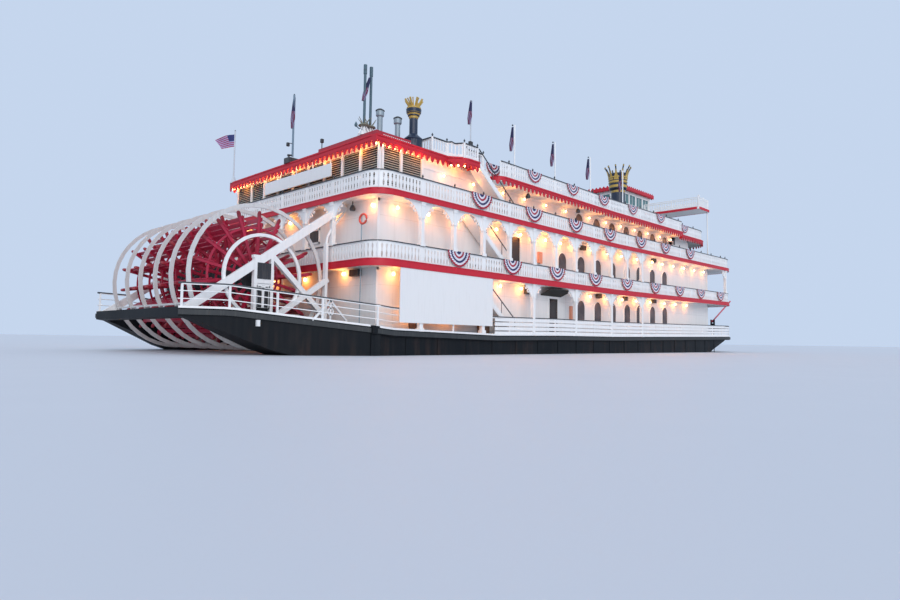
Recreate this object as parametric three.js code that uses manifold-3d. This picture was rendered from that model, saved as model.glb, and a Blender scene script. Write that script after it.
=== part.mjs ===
// Stern-wheel paddle steamer, a 1:2 scale model of a boat about 65 m long.
// All sizes below are real sizes in metres: X forward to the bow, Y to port, Z up from the waterline.
// add() scales them to the model's millimetres and sets the model on its flat bottom.

import * as THREE from 'three';
import { mergeVertices } from 'three/addons/utils/BufferGeometryUtils.js';
import Module from 'manifold-3d';

const wasm = await Module();
wasm.setup();

// Driving dimensions
const MODEL_MM_PER_M = 500;
const GAP = 0.0006;                 // 0.3 mm in the model, between pieces that rest on each other
const SWING_GAP = 0.02;             // 10 mm in the model, round what moves
const DRAUGHT = 1.9;
const HALF_BEAM = 9.4;
const HULL_HALF = 9.28;
const PLATFORM = { aft: -9.05, half: 5.62, wellAft: -8.6, wellFore: -0.8, wellHalf: 5.1 };
const BOW = { start: 47.8, length: 8.2 };
const SHEER = { start: 24, slope: 0.014 };
const SIDES = [['starboard', -1], ['port', 1]];

const DECK = { aft: -0.7, fore: 51.4, half: HALF_BEAM, corner: 3, aftCorner: 1.2, thick: 0.26 };
const BOILER_Z = 4.98;
const TEXAS_Z = 8.74;
const HURRICANE = {
  aft: 9.25, fore: 46.4, half: 9.3, foreHalf: 8.6, step: [37.2, 38], corner: 3.2, aftCorner: 0.5,
  z: 11.33, skirt: 0.27,
};
const ROOF = { aft: 0.1, fore: 9.2, half: 8.2, z: 11.93, skirt: 0.32, thick: 0.14 };
const LANDING = { z: 11.8, flare: [5.7, 6.25], half: 9.12 };
const WALL = 0.12;
const CABIN = { aft: 0.3, fore: 46, half: 8.2 };
const TEXAS_CABIN = { aft: 0.6, fore: 41.7, half: 7.9 };

const WHEEL = { x: -4.7, z: 3.95, r: 3.5, half: 4.62, spokes: 18, turn: 2, shaftR: 0.17 };
const HOOP = { outer: 3.78, inner: 3.58, thick: 0.08, half: 4.95, count: 6 };

// Colours read by eye from the photograph
const paint = (color, roughness, metalness = 0) =>
  new THREE.MeshStandardMaterial({ color, roughness, metalness });
const WHITE = paint(0xf1efe9, 0.5);
const RED = paint(0xb8202c, 0.5);
const ROOF_RED = paint(0x9e2430, 0.55);
const HULL_BLACK = paint(0x1c2a33, 0.45);
const WHEEL_RED = paint(0xa3102a, 0.45);
const GOLD = paint(0xc79a2e, 0.35, 0.6);
const DOOR_BROWN = paint(0x5a4434, 0.5);
const STEEL = paint(0x55595c, 0.5, 0.5);
const BLUE_CLOTH = paint(0x2b3566, 0.8);

const model = new THREE.Group();

// Solids: joins and cuts
function solid(geometry) {
  const plain = geometry.clone();
  plain.deleteAttribute('normal');
  plain.deleteAttribute('uv');
  const merged = mergeVertices(plain, 1e-6);
  return new wasm.Manifold(new wasm.Mesh({
    numProp: 3,
    vertProperties: new Float32Array(merged.attributes.position.array),
    triVerts: new Uint32Array(merged.index.array),
  }));
}

const join = (pieces) => pieces.map(solidOf).reduce((sum, next) => sum.add(next));
const solidOf = (piece) => (piece.isBufferGeometry ? solid(piece) : piece);
const cut = (piece, tools) =>
  tools.map(solidOf).reduce((rest, tool) => rest.subtract(tool), solidOf(piece));

function geometryOf(piece) {
  if (piece.isBufferGeometry) return piece;
  const mesh = piece.getMesh();
  const geometry = new THREE.BufferGeometry();
  geometry.setAttribute('position', new THREE.BufferAttribute(mesh.vertProperties, 3));
  geometry.setIndex(new THREE.BufferAttribute(mesh.triVerts, 1));
  return geometry;
}

// Shapes
function box([x0, x1], [y0, y1], [z0, z1]) {
  const geometry = new THREE.BoxGeometry(x1 - x0, y1 - y0, z1 - z0);
  return geometry.translate((x0 + x1) / 2, (y0 + y1) / 2, (z0 + z1) / 2);
}

const shapeOf = (points) => new THREE.Shape(points.map(([x, y]) => new THREE.Vector2(x, y)));

function slab(outline, [z0, z1], holes = []) {
  const shape = shapeOf(outline);
  shape.holes = holes.map((hole) => new THREE.Path(hole.map(([x, y]) => new THREE.Vector2(x, y))));
  const geometry = new THREE.ExtrudeGeometry(shape, { depth: z1 - z0, bevelEnabled: false });
  return geometry.translate(0, 0, z0);
}

// A profile drawn in X and Z, running across the boat from y0 to y1
function acrossPrism(profile, [y0, y1], holes = []) {
  const geometry = slab(profile, [0, y1 - y0], holes);
  return geometry.rotateX(Math.PI / 2).translate(0, y1, 0);
}

const rectangle = (x0, x1, y0, y1) => [[x0, y0], [x1, y0], [x1, y1], [x0, y1]];

function circle(cx, cy, r, sides) {
  return Array.from({ length: sides }, (_, i) => {
    const angle = (2 * Math.PI * i) / sides;
    return [cx + r * Math.cos(angle), cy + r * Math.sin(angle)];
  });
}

// A square bar from a to b, wide across and deep in the plane that holds Z
function bar(a, b, wide, deep) {
  const from = new THREE.Vector3(...a);
  const to = new THREE.Vector3(...b);
  const along = to.clone().sub(from);
  const geometry = new THREE.BoxGeometry(along.length(), wide, deep);
  const x = along.clone().normalize();
  const up = Math.abs(x.z) > 0.999 ? new THREE.Vector3(1, 0, 0) : new THREE.Vector3(0, 0, 1);
  const y = up.clone().cross(x).normalize();
  const z = x.clone().cross(y);
  geometry.applyMatrix4(new THREE.Matrix4().makeBasis(x, y, z));
  const middle = from.add(to).multiplyScalar(0.5);
  return geometry.translate(middle.x, middle.y, middle.z);
}

function rod(a, b, r, sides = 8) {
  const from = new THREE.Vector3(...a);
  const along = new THREE.Vector3(...b).sub(from);
  const geometry = new THREE.CylinderGeometry(r, r, along.length(), sides);
  geometry.translate(0, along.length() / 2, 0);
  const turn = new THREE.Quaternion().setFromUnitVectors(
    new THREE.Vector3(0, 1, 0), along.clone().normalize());
  return geometry.applyQuaternion(turn).translate(...a);
}

// A round upright from a table of radius and height, closed on its axis
function turned(profile, [x, y], sides = 20) {
  const points = profile.map(([r, z]) => new THREE.Vector2(r, z));
  return new THREE.LatheGeometry(points, sides).rotateX(Math.PI / 2).translate(x, y, 0);
}

// A rounded rectangle in plan, set in by inset
function deckCorners({ aft, fore, half, foreHalf = half, corner, aftCorner = corner }) {
  return [
    // centre x, centre y, first angle, radius
    [fore - corner, foreHalf - corner, 0, corner],
    [aft + aftCorner, half - aftCorner, 90, aftCorner],
    [aft + aftCorner, aftCorner - half, 180, aftCorner],
    [fore - corner, corner - foreHalf, 270, corner],
  ];
}

function onCorner([cx, cy, start, radius], turn, inset) {
  const angle = THREE.MathUtils.degToRad(start + turn);
  return [cx + (radius - inset) * Math.cos(angle), cy + (radius - inset) * Math.sin(angle)];
}

function deckOutline(deck, inset = 0) {
  const steps = 6;
  const [fore, aft, aftStarboard, foreStarboard] = deckCorners(deck).map((corner) =>
    Array.from({ length: steps + 1 }, (_, i) => onCorner(corner, (90 * i) / steps, inset)));
  const [outer, inner] = (deck.step ?? []).map((x, i) => [x, (i ? deck.foreHalf : deck.half) - inset]);
  const stepIn = outer ? [inner, outer] : [];
  const mirrored = [...stepIn].reverse().map(([x, y]) => [x, -y]);
  return [...fore, ...stepIn, ...aft, ...aftStarboard, ...mirrored, ...foreStarboard];
}

// Hull: plan outlines stacked from keel to deck
const DECK_LINE = [[-9.05, 2.22], [-7, 2.22], [0.5, 1.42], [9, 1.25], [16, 1.35], [24, 1.38], [60, 1.38]];

function deckLine(x) {
  const i = Math.max(1, DECK_LINE.findIndex(([end]) => x <= end));
  const [[x0, z0], [x1, z1]] = [DECK_LINE[i - 1], DECK_LINE[i]];
  return z0 + ((z1 - z0) * (x - x0)) / (x1 - x0);
}

function halfOutline({ aft, half, bowStart, bowLength }) {
  const side = DECK_LINE.map(([x]) => x).filter((x) => x > -0.8 && x < 30);
  const points = [[aft, half]];
  for (const x of side) points.push([Math.max(x, aft + 0.01 * (x + 1)), half]);
  const steps = 9;
  for (let i = 0; i <= steps; i++) {
    const angle = (Math.PI / 2) * (i / steps);
    points.push([bowStart + bowLength * Math.sin(angle), half * Math.cos(angle)]);
  }
  points[points.length - 1][1] = 0;
  return points;
}

// Each level: half outline, and its height as a function of x
function stackedHull(levels) {
  const triangles = [];
  const at = (level, i, side) => {
    const [x, y] = level.outline[i];
    return [x, side * y, level.height(x)];
  };
  const quad = (a, b, c, d) => triangles.push(a, b, c, a, c, d);
  const last = levels[0].outline.length - 1;
  levels.slice(1).forEach((upper, k) => {
    const lower = levels[k];
    for (let i = 0; i < last; i++) {
      quad(at(lower, i + 1, 1), at(lower, i, 1), at(upper, i, 1), at(upper, i + 1, 1));
      quad(at(lower, i, -1), at(lower, i + 1, -1), at(upper, i + 1, -1), at(upper, i, -1));
    }
    quad(at(lower, 0, 1), at(lower, 0, -1), at(upper, 0, -1), at(upper, 0, 1));
  });
  const bottom = levels[0];
  const top = levels[levels.length - 1];
  for (let i = 0; i < last; i++) {
    quad(at(bottom, i, -1), at(bottom, i, 1), at(bottom, i + 1, 1), at(bottom, i + 1, -1));
    quad(at(top, i, 1), at(top, i, -1), at(top, i + 1, -1), at(top, i + 1, 1));
  }
  const whole = triangles.filter((_, i) => {
    const [a, b, c] = triangles.slice(i - (i % 3), i - (i % 3) + 3).map(String);
    return a !== b && b !== c && a !== c;
  });
  const geometry = new THREE.BufferGeometry();
  geometry.setAttribute('position', new THREE.BufferAttribute(new Float32Array(whole.flat()), 3));
  return mergeVertices(geometry, 1e-6);
}

function makeHull() {
  const level = (aft, half, bowStart, bowLength, height) =>
    ({ outline: halfOutline({ aft, half, bowStart, bowLength }), height });
  const rake = (deep) => (x) => (x < 7 ? deep + ((-1.15 - deep) * (7 - x)) / 7.8 : deep);
  const body = stackedHull([
    level(PLATFORM.wellFore, 8.7, 38.5, 6, rake(-DRAUGHT)),
    level(PLATFORM.wellFore, HULL_HALF, 39.5, 7, (x) => rake(-DRAUGHT)(x) + 0.45),
    level(PLATFORM.wellFore, HULL_HALF, 43, 8.2, () => 0.2),
    level(PLATFORM.wellFore, HULL_HALF, BOW.start - 1, BOW.length - 0.6, (x) => deckLine(x) - 0.5),
    level(PLATFORM.wellFore, HULL_HALF, BOW.start - 1, BOW.length - 0.6, (x) => deckLine(x) - 0.1),
  ]);
  const guard = stackedHull([
    level(PLATFORM.wellFore, HALF_BEAM, BOW.start, BOW.length, (x) => deckLine(x) - 0.42),
    level(PLATFORM.wellFore, HALF_BEAM, BOW.start, BOW.length, deckLine),
  ]);
  return join([body, guard, makeArms()]);
}

// The stern arms run aft on both sides of the paddle wheel and meet behind it
function makeArms() {
  const armLine = [[-0.3, HALF_BEAM], [PLATFORM.aft, PLATFORM.half]];
  const plan = [...armLine, ...armLine.map(([x, y]) => [x, -y]).reverse()];
  const underside = [[-0.3, -1.3], [-3, -0.4], [-5.3, 0.28], [-8.6, 1.7], [PLATFORM.aft, 1.76]];
  const top = DECK_LINE.filter(([x]) => x < -0.3).map(([x, z]) => [x, z]);
  const side = [...underside, ...top, [-0.3, deckLine(-0.3)]];
  const arms = slab(plan, [-2, 3]);
  const profile = acrossPrism(side, [-12, 12]);
  const well = box([PLATFORM.wellAft, PLATFORM.wellFore], [-PLATFORM.wellHalf, PLATFORM.wellHalf], [-3, 4]);
  return solid(arms).intersect(solid(profile)).subtract(solid(well));
}

// Rudder shelves and the boom's post belong to the hull
const RUDDER = { x: -1.75, y: 2.6, stockR: 0.1, shelf: [0.3, 0.48] };
const BOOM = { x: 50.3, y: -7.1, z: 3.05, length: 6.1, rise: 24, fork: 0.115, ear: 0.09 };

function finishHull(hull) {
  const shelves = SIDES.map(([, side]) => cut(
    box([RUDDER.x - 0.3, PLATFORM.wellFore + 0.1],
      [side * RUDDER.y - 0.25, side * RUDDER.y + 0.25], RUDDER.shelf),
    [slab(circle(RUDDER.x, side * RUDDER.y, (RUDDER.stockR + GAP) / Math.cos(Math.PI / 16), 16), [0, 1])]));
  const post = rod([BOOM.x, BOOM.y, 1], [BOOM.x, BOOM.y, BOOM.z - 0.25], 0.16, 12);
  const ears = [-1, 1].map((s) => box([BOOM.x - 0.14, BOOM.x + 0.14],
    [BOOM.y + s * BOOM.fork, BOOM.y + s * (BOOM.fork + BOOM.ear)].sort((a, b) => a - b),
    [BOOM.z - 0.5, BOOM.z + 0.18]));
  return join([hull, ...shelves, post, ...ears]);
}

// The forward sheer: every fixed piece rises with the deck line ahead of SHEER.start
function withSheer(geometry, above = -Infinity) {
  const source = geometry.index ? geometry.toNonIndexed() : geometry;
  const position = source.attributes.position;
  const corners = [];
  const lerp = (a, b) => {
    const [p, q] = a[0] < b[0] ? [a, b] : [b, a];
    const t = (SHEER.start - p[0]) / (q[0] - p[0]);
    return [SHEER.start, p[1] + t * (q[1] - p[1]), p[2] + t * (q[2] - p[2])];
  };
  for (let i = 0; i < position.count; i += 3) {
    const ring = [];
    const triangle = [0, 1, 2].map((k) => [position.getX(i + k), position.getY(i + k), position.getZ(i + k)]);
    triangle.forEach((a, k) => {
      const b = triangle[(k + 1) % 3];
      ring.push(a);
      if ((a[0] - SHEER.start) * (b[0] - SHEER.start) < -1e-9) ring.push(lerp(a, b));
    });
    const aft = ring.filter(([x]) => x <= SHEER.start + 1e-6);
    const fore = ring.filter(([x]) => x >= SHEER.start - 1e-6);
    const parts = ring.length > 3 ? [aft, fore] : [ring];
    for (const part of parts) {
      for (let k = 1; k + 1 < part.length; k++) corners.push(part[0], part[k], part[k + 1]);
    }
  }
  const lifted = corners.flatMap(([x, y, z]) => {
    const rise = x > SHEER.start && z > above ? SHEER.slope * (x - SHEER.start) : 0;
    return [x, y, z + rise];
  });
  const bent = new THREE.BufferGeometry();
  bent.setAttribute('position', new THREE.BufferAttribute(new Float32Array(lifted), 3));
  return bent;
}

const MODEL_SHIFT = new THREE.Vector3(-(PLATFORM.aft + BOW.start + BOW.length) / 2, 0, DRAUGHT);

function add(name, piece, material, { sheer = true, above } = {}) {
  const geometry = sheer ? withSheer(geometryOf(piece), above) : geometryOf(piece).clone();
  geometry.translate(MODEL_SHIFT.x, MODEL_SHIFT.y, MODEL_SHIFT.z);
  geometry.scale(MODEL_MM_PER_M, MODEL_MM_PER_M, MODEL_MM_PER_M);
  const mesh = new THREE.Mesh(geometry, material);
  mesh.name = name;
  model.add(mesh);
}

const plainHull = makeHull();
const hullLifted = plainHull.translate([0, 0, GAP]);
const onHull = (piece) => cut(piece, [hullLifted]);

add('hull', finishHull(plainHull), HULL_BLACK, { above: 0.5 });

// Rails: bars along a path of corners, and posts
function barsAlong(path, base, heights) {
  return path.slice(1).flatMap(([x1, y1], i) => {
    const [x0, y0] = path[i];
    const grow = 0.03 / Math.hypot(x1 - x0, y1 - y0);
    return heights.map((h) => bar(
      [x0 - grow * (x1 - x0), y0 - grow * (y1 - y0), base(x0) + h],
      [x1 + grow * (x1 - x0), y1 + grow * (y1 - y0), base(x1) + h], 0.08, 0.07));
  });
}

const POST_HALF = 0.045;
const postAt = ([x, y], low, high) =>
  box([x - POST_HALF, x + POST_HALF], [y - POST_HALF, y + POST_HALF], [low, high]);

const BAY = 2.607;
const COLUMNS_END = 30;            // ahead of it the cabins alone carry the decks above
const BOW_COLUMN = 48.25;
const bayStops = (first, last) => Array.from({ length: last - first + 1 }, (_, i) => 2.6 + BAY * (first + i));

function armHalf(x) {
  const slope = (HALF_BEAM - PLATFORM.half) / (-0.3 - PLATFORM.aft);
  return Math.min(HALF_BEAM, PLATFORM.half + slope * (x - PLATFORM.aft));
}

// Main deck rail from the stern platform round the bow; aft, every second post carries the deck above
function mainRail() {
  const inset = 0.1;
  const height = 1.05;
  const sideCorners = [PLATFORM.aft + 0.15, -7, -0.3, 0.5, 9, 16, 24, BOW.start]
    .map((x) => [x, armHalf(x) - inset]);
  const bowArc = [0.25, 0.5, 0.75].map((t) => {
    const angle = (Math.PI / 2) * t;
    return [BOW.start + (BOW.length - inset) * Math.sin(angle), (HALF_BEAM - inset) * Math.cos(angle)];
  });
  const half = [...sideCorners, ...bowArc];
  const mirror = ([x, y]) => [x, -y];
  const loop = [...half.map(mirror), [BOW.start + BOW.length - inset, 0], ...[...half].reverse()];
  const bars = barsAlong(loop, deckLine, [height]);
  const posts = [PLATFORM.aft + 0.15, -7, -5, -3].map((x) => [x, armHalf(x) - inset, height]);
  [-0.4, ...bayStops(0, 17)].forEach((x, i) => {
    const column = i % 2 === 1 && x < COLUMNS_END;
    posts.push([x, armHalf(x) - inset, column ? BOILER_Z - DECK.thick - GAP - deckLine(x) : height]);
  });
  bowArc.forEach(([x, y]) => posts.push([x, y, height]));
  const uprights = [...posts, ...posts.map(([x, y, top]) => [x, -y, top])]
    .map(([x, y, top]) => postAt([x, y], deckLine(x) - 0.1, deckLine(x) + top));
  return onHull(join([...bars, ...uprights]));
}

// Upper deck rail: one hoop of handrail on posts; the side posts can be columns that carry the deck above
function deckRail(deck, z, height, stops, columnTop) {
  const inset = 0.12;
  const handrail = slab(deckOutline(deck, inset - 0.04), [z + height - 0.08, z + height],
    [deckOutline(deck, inset + 0.04)]);
  const top = z + height - 0.02;
  const uprights = stops.flatMap((x) => {
    const y = (deck.step && x > deck.step[1] ? deck.foreHalf : deck.half) - inset;
    const head = columnTop && (x < COLUMNS_END || x === BOW_COLUMN) ? columnTop : top;
    return [postAt([x, y], z + GAP, head), postAt([x, -y], z + GAP, head)];
  });
  for (const x of [deck.aft + inset, deck.fore - inset]) {
    for (const across of [-5.4, -2.7, 0, 2.7, 5.4]) uprights.push(postAt([x, across], z + GAP, top));
  }
  deckCorners(deck).forEach((corner) => uprights.push(postAt(onCorner(corner, 45, inset), z + GAP, top)));
  return join([handrail, ...uprights]);
}

// Decks, with the wells of the stairs, which all come down forward to the same foot
const STAIR = { width: [8.3, 9.1], slope: 0.8, foot: 11.4, clear: 0.02 };
const STAIRS = [
  // name, floor below, floor above
  ['main', deckLine(STAIR.foot), BOILER_Z],
  ['boiler', BOILER_Z, TEXAS_Z],
  ['texas', TEXAS_Z, LANDING.z],
];
const stairTop = ([, low, high]) => STAIR.foot - (high - low) / STAIR.slope;

function stairWells(stair, length) {
  const top = stairTop(stair) - STAIR.clear;
  return SIDES.map(([, side]) => {
    const across = [side * (STAIR.width[0] - STAIR.clear), side * (STAIR.width[1] + STAIR.clear)];
    return rectangle(top, top + length, ...across.sort((a, b) => a - b));
  });
}

const deckPlate = (z, stair) => slab(deckOutline(DECK), [z - DECK.thick, z], stairWells(stair, 2.9));

add('boiler_deck', deckPlate(BOILER_Z, STAIRS[0]), WHITE);
add('texas_deck', deckPlate(TEXAS_Z, STAIRS[1]), WHITE);

// A deck plate with a valance under its edge
function skirted({ outline, inner, z, thick, skirt, wells = [] }) {
  return join([
    slab(outline, [z - thick, z], wells),
    slab(outline, [z - skirt, z], [inner]),
  ]);
}

function hurricaneDeck() {
  const { z, skirt, aft } = HURRICANE;
  const outline = deckOutline(HURRICANE);
  const deck = skirted({ outline, inner: deckOutline(HURRICANE, 0.08), z, thick: DECK.thick, skirt });
  const cabinWay = box([aft - 1, aft + 0.2], [-8, 8], [z - skirt - 1, z - DECK.thick]);
  const wells = stairWells(STAIRS[2], 3.35).map((well) => slab(well, [z - 1, z + 1]));
  return cut(deck, [cabinWay, ...wells]);
}
add('hurricane_deck', hurricaneDeck(), WHITE);

// Aft roof with its kerb, masts, flagpoles and vent pipes, and a landing at the head of each stair
const ROOF_POLES = [
  // x, y, radius, top
  [0.18, 8.0, 0.05, 15.77],
  [0.35, 0.5, 0.06, 16.49],
  [0.27, -6.9, 0.07, 16.2],
  [0.7, -6.9, 0.07, 16.2],
];
const ROOF_VENTS = [
  // x, y, radius, top
  [1.4, -6.9, 0.15, 13.98],
  [2.75, -6.9, 0.145, 13.89],
];

function aftRoof() {
  const outline = rectangle(ROOF.aft, ROOF.fore, -ROOF.half, ROOF.half);
  const inner = rectangle(ROOF.aft + 0.08, ROOF.fore - 0.08, 0.08 - ROOF.half, ROOF.half - 0.08);
  const poles = ROOF_POLES.map(([x, y, r, top]) => rod([x, y, ROOF.z - 0.05], [x, y, top], r));
  const feet = ROOF_POLES.map(([x, y]) => turned(
    [[0, ROOF.z - 0.05], [0.22, ROOF.z - 0.05], [0.08, ROOF.z + 0.45], [0, ROOF.z + 0.45]], [x, y], 8));
  const vents = ROOF_VENTS.map(([x, y, r, top]) => turned([
    [0, ROOF.z - 0.05], [r, ROOF.z - 0.05], [r, top - 0.35],
    [r * 1.5, top - 0.3], [r * 1.5, top - 0.08], [0, top],
  ], [x, y], 12));
  const kerb = box([ROOF.aft, 2.65], [-ROOF.half, -2.76], [ROOF.z - 0.1, ROOF.z + 0.26]);
  const end = stairTop(STAIRS[2]) - STAIR.clear;
  const [from, to] = LANDING.flare;
  const landings = SIDES.map(([, side]) => {
    const across = (points) => points.map(([x, y]) => [x, side * y]);
    const { half, z } = LANDING;
    const [root, wall] = [ROOF.half - 0.06, 0.08];
    const plate = slab(across([[from, root], [end, root], [end, half], [to, half]]), [z - ROOF.skirt, z]);
    const hollow = [[from + 0.1, root], [end - wall, root], [end - wall, half - wall], [to, half - wall]];
    return cut(plate, [slab(across(hollow), [z - 1, z - ROOF.thick])]);
  });
  return join([
    skirted({ outline, inner, z: ROOF.z, thick: ROOF.thick, skirt: ROOF.skirt }), kerb, ...landings,
    ...poles, ...feet, ...vents,
  ]);
}
add('aft_roof', aftRoof(), ROOF_RED);


// A rail hoop taken apart just past the ends of its straight side runs. The aft run can be kept
// between the stairs.
const RUN_OVERLAP = 0.2;
const BEYOND = 12;
function railRuns(rail, deck, aftHalf = BEYOND) {
  const aftEnd = deck.aft + (deck.aftCorner ?? deck.corner) - RUN_OVERLAP;
  const foreEnd = deck.fore - deck.corner + RUN_OVERLAP;
  const whole = solid(geometryOf(rail));
  const tall = [0, 2 * BEYOND];
  const part = (along, across) => whole.intersect(solid(box(along, across, tall)));
  const ends = [
    box([aftEnd - BEYOND, aftEnd], [-aftHalf, aftHalf], tall),
    box([foreEnd, foreEnd + BEYOND], [-BEYOND, BEYOND], tall),
  ];
  const sides = cut(whole, ends);
  return [
    ...SIDES.map(([name, side]) => [name,
      sides.intersect(solid(box([-BEYOND, 60], [side, side * BEYOND].sort((a, b) => a - b), tall)))]),
    ['aft', part([aftEnd - BEYOND, aftEnd - GAP], [-aftHalf, aftHalf])],
    ['fore', part([foreEnd + GAP, foreEnd + BEYOND], [-BEYOND, BEYOND])],
  ];
}

// The main rail in two halves that meet at the bow
const wholeMainRail = mainRail();
for (const [name, side] of SIDES) {
  const half = box([-BEYOND, 60], [side * 0.5 * GAP, side * BEYOND].sort((a, b) => a - b), [0, 2 * BEYOND]);
  add(`main_rail_${name}`, wholeMainRail.intersect(solid(half)), WHITE);
}

const DECK_STOPS = [...bayStops(0, 17), BOW_COLUMN];
const boilerRail = deckRail(DECK, BOILER_Z, 1.05, DECK_STOPS, TEXAS_Z - DECK.thick - GAP);
for (const [name, run] of railRuns(boilerRail, DECK)) add(`boiler_rail_${name}`, run, WHITE);
add('texas_rail', deckRail(DECK, TEXAS_Z, 1.05, DECK_STOPS), WHITE);

// Hurricane deck rail, open beside the stair wells, with guards round the wells and the side flagpoles
const RAIL_POLES = [11.0, 15.7, 20.5, 25.6];
const WAY_HALF = 6.9;
const WELL_FORE = 10.97;
function hurricaneRail() {
  const { z, half, aft } = HURRICANE;
  const height = 1.05;
  const y = half - 0.12;
  const rail = deckRail(HURRICANE, z, height, bayStops(3, 15));
  const poles = RAIL_POLES.map((x) => rod([x, -y, z + GAP], [x, -y, 15.1], 0.05));
  const ways = SIDES.map(([, side]) =>
    box([aft, aft + 0.3], [side * WAY_HALF, side * (y - 0.05)].sort((a, b) => a - b), [z - 1, z + 2]));
  const guards = SIDES.flatMap(([, side]) => {
    const inboard = side * (STAIR.width[0] - 0.1);
    const path = [[aft + 0.1, inboard], [WELL_FORE, inboard], [WELL_FORE, side * y]];
    const posts = path.slice(0, 2).map((at) => postAt(at, z + GAP, z + height - 0.02));
    return [...barsAlong(path, () => z, [height - 0.04]), ...posts];
  });
  return join([cut(rail, ways), ...poles, ...guards]);
}
for (const [name, run] of railRuns(hurricaneRail(), HURRICANE, WAY_HALF)) {
  add(`hurricane_rail_${name}`, run, WHITE);
}

// Cabins: thick walls that meet at the corners, with doorways cut
const DOORS = [
  // level, hinge x, width, sill height, head height
  ['main', 16.5, 1.0, deckLine(17) + 0.04, 3.95],
  ['boiler', 11.95, 0.95, BOILER_Z + 0.04, 7.9],
];

function sideWall(profile, cabin, side, doorway) {
  const faces = [side * cabin.half, side * (cabin.half - WALL)].sort((a, b) => a - b);
  return acrossPrism(profile, faces, doorway ? [doorway] : []);
}

function cabinWalls(level, cabin, profile, { doorway, ground = (piece) => piece, material = WHITE }) {
  for (const [name, side] of SIDES) {
    add(`${level}_wall_${name}`, ground(sideWall(profile, cabin, side, doorway)), material);
  }
  const inside = cabin.half - WALL - GAP;
  const topAt = (x) => Math.max(...profile.filter(([px]) => Math.abs(px - x) < 1).map(([, z]) => z));
  const floor = Math.min(...profile.map(([, z]) => z));
  for (const [end, x0] of [['aft', cabin.aft], ['fore', cabin.fore - WALL]]) {
    const wall = box([x0, x0 + WALL], [-inside, inside], [floor, topAt(x0)]);
    add(`${level}_wall_${end}`, ground(wall), material);
  }
}

const doorwayOf = ([, x, width, sill, head]) =>
  rectangle(x - GAP, x + width + SWING_GAP, sill, head + SWING_GAP);
const mainTop = BOILER_Z - DECK.thick - GAP;
const boilerTop = TEXAS_Z - DECK.thick - GAP;
cabinWalls('main', CABIN, rectangle(CABIN.aft, CABIN.fore, 1, mainTop),
  { doorway: doorwayOf(DOORS[0]), ground: onHull });
cabinWalls('boiler', CABIN, rectangle(CABIN.aft, CABIN.fore, BOILER_Z + GAP, boilerTop),
  { doorway: doorwayOf(DOORS[1]) });

const texasFloor = TEXAS_Z + GAP;
const texasProfile = [
  [TEXAS_CABIN.aft, texasFloor], [TEXAS_CABIN.fore, texasFloor],
  [TEXAS_CABIN.fore, HURRICANE.z - DECK.thick - GAP], [ROOF.fore - 0.1, HURRICANE.z - DECK.thick - GAP],
  [ROOF.fore - 0.1, ROOF.z - ROOF.thick - GAP], [TEXAS_CABIN.aft, ROOF.z - ROOF.thick - GAP],
];
cabinWalls('texas', TEXAS_CABIN, texasProfile,
  { doorway: rectangle(37.1, 38, TEXAS_Z + 0.06, 10.6) });

for (const [level, x, width, sill, head] of DOORS) {
  for (const [name, side] of SIDES) {
    const faces = [side * CABIN.half, side * (CABIN.half - WALL)].sort((a, b) => a - b);
    const leaf = box([x, x + width], faces, [sill + SWING_GAP, head]);
    const knob = box([x + width - 0.12, x + width - 0.06],
      [side * CABIN.half - 0.05, side * CABIN.half + 0.05], [sill + 1, sill + 1.12]);
    add(`${level}_door_${name}`, join([leaf, knob]), DOOR_BROWN);
  }
}

// Stairs between the decks, on both sides; the profile is drawn climbing aft from the foot
function stair([, low, high], side) {
  const { foot, slope, width } = STAIR;
  const steps = Math.round((high - low) / 0.2);
  const rise = (high - low) / steps;
  const going = rise / slope;
  const climb = [[0, low + GAP]];
  for (let i = 0; i < steps - 1; i++) {
    climb.push([i * going, low + (i + 1) * rise], [(i + 1) * going, low + (i + 1) * rise]);
  }
  climb.push([(steps - 1) * going, high - 0.02], [steps * going - GAP, high - 0.02]);
  climb.push([steps * going - GAP, high - 0.3], [0.35, low + GAP]);
  const profile = climb.map(([along, z]) => [foot - along, z]).reverse();
  return acrossPrism(profile, width.map((y) => side * y).sort((a, b) => a - b));
}
for (const flight of STAIRS) {
  for (const [name, side] of SIDES) {
    const steps = stair(flight, side);
    add(`${flight[0]}_stair_${name}`, flight[0] === 'main' ? onHull(steps) : steps, WHITE);
  }
}

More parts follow.
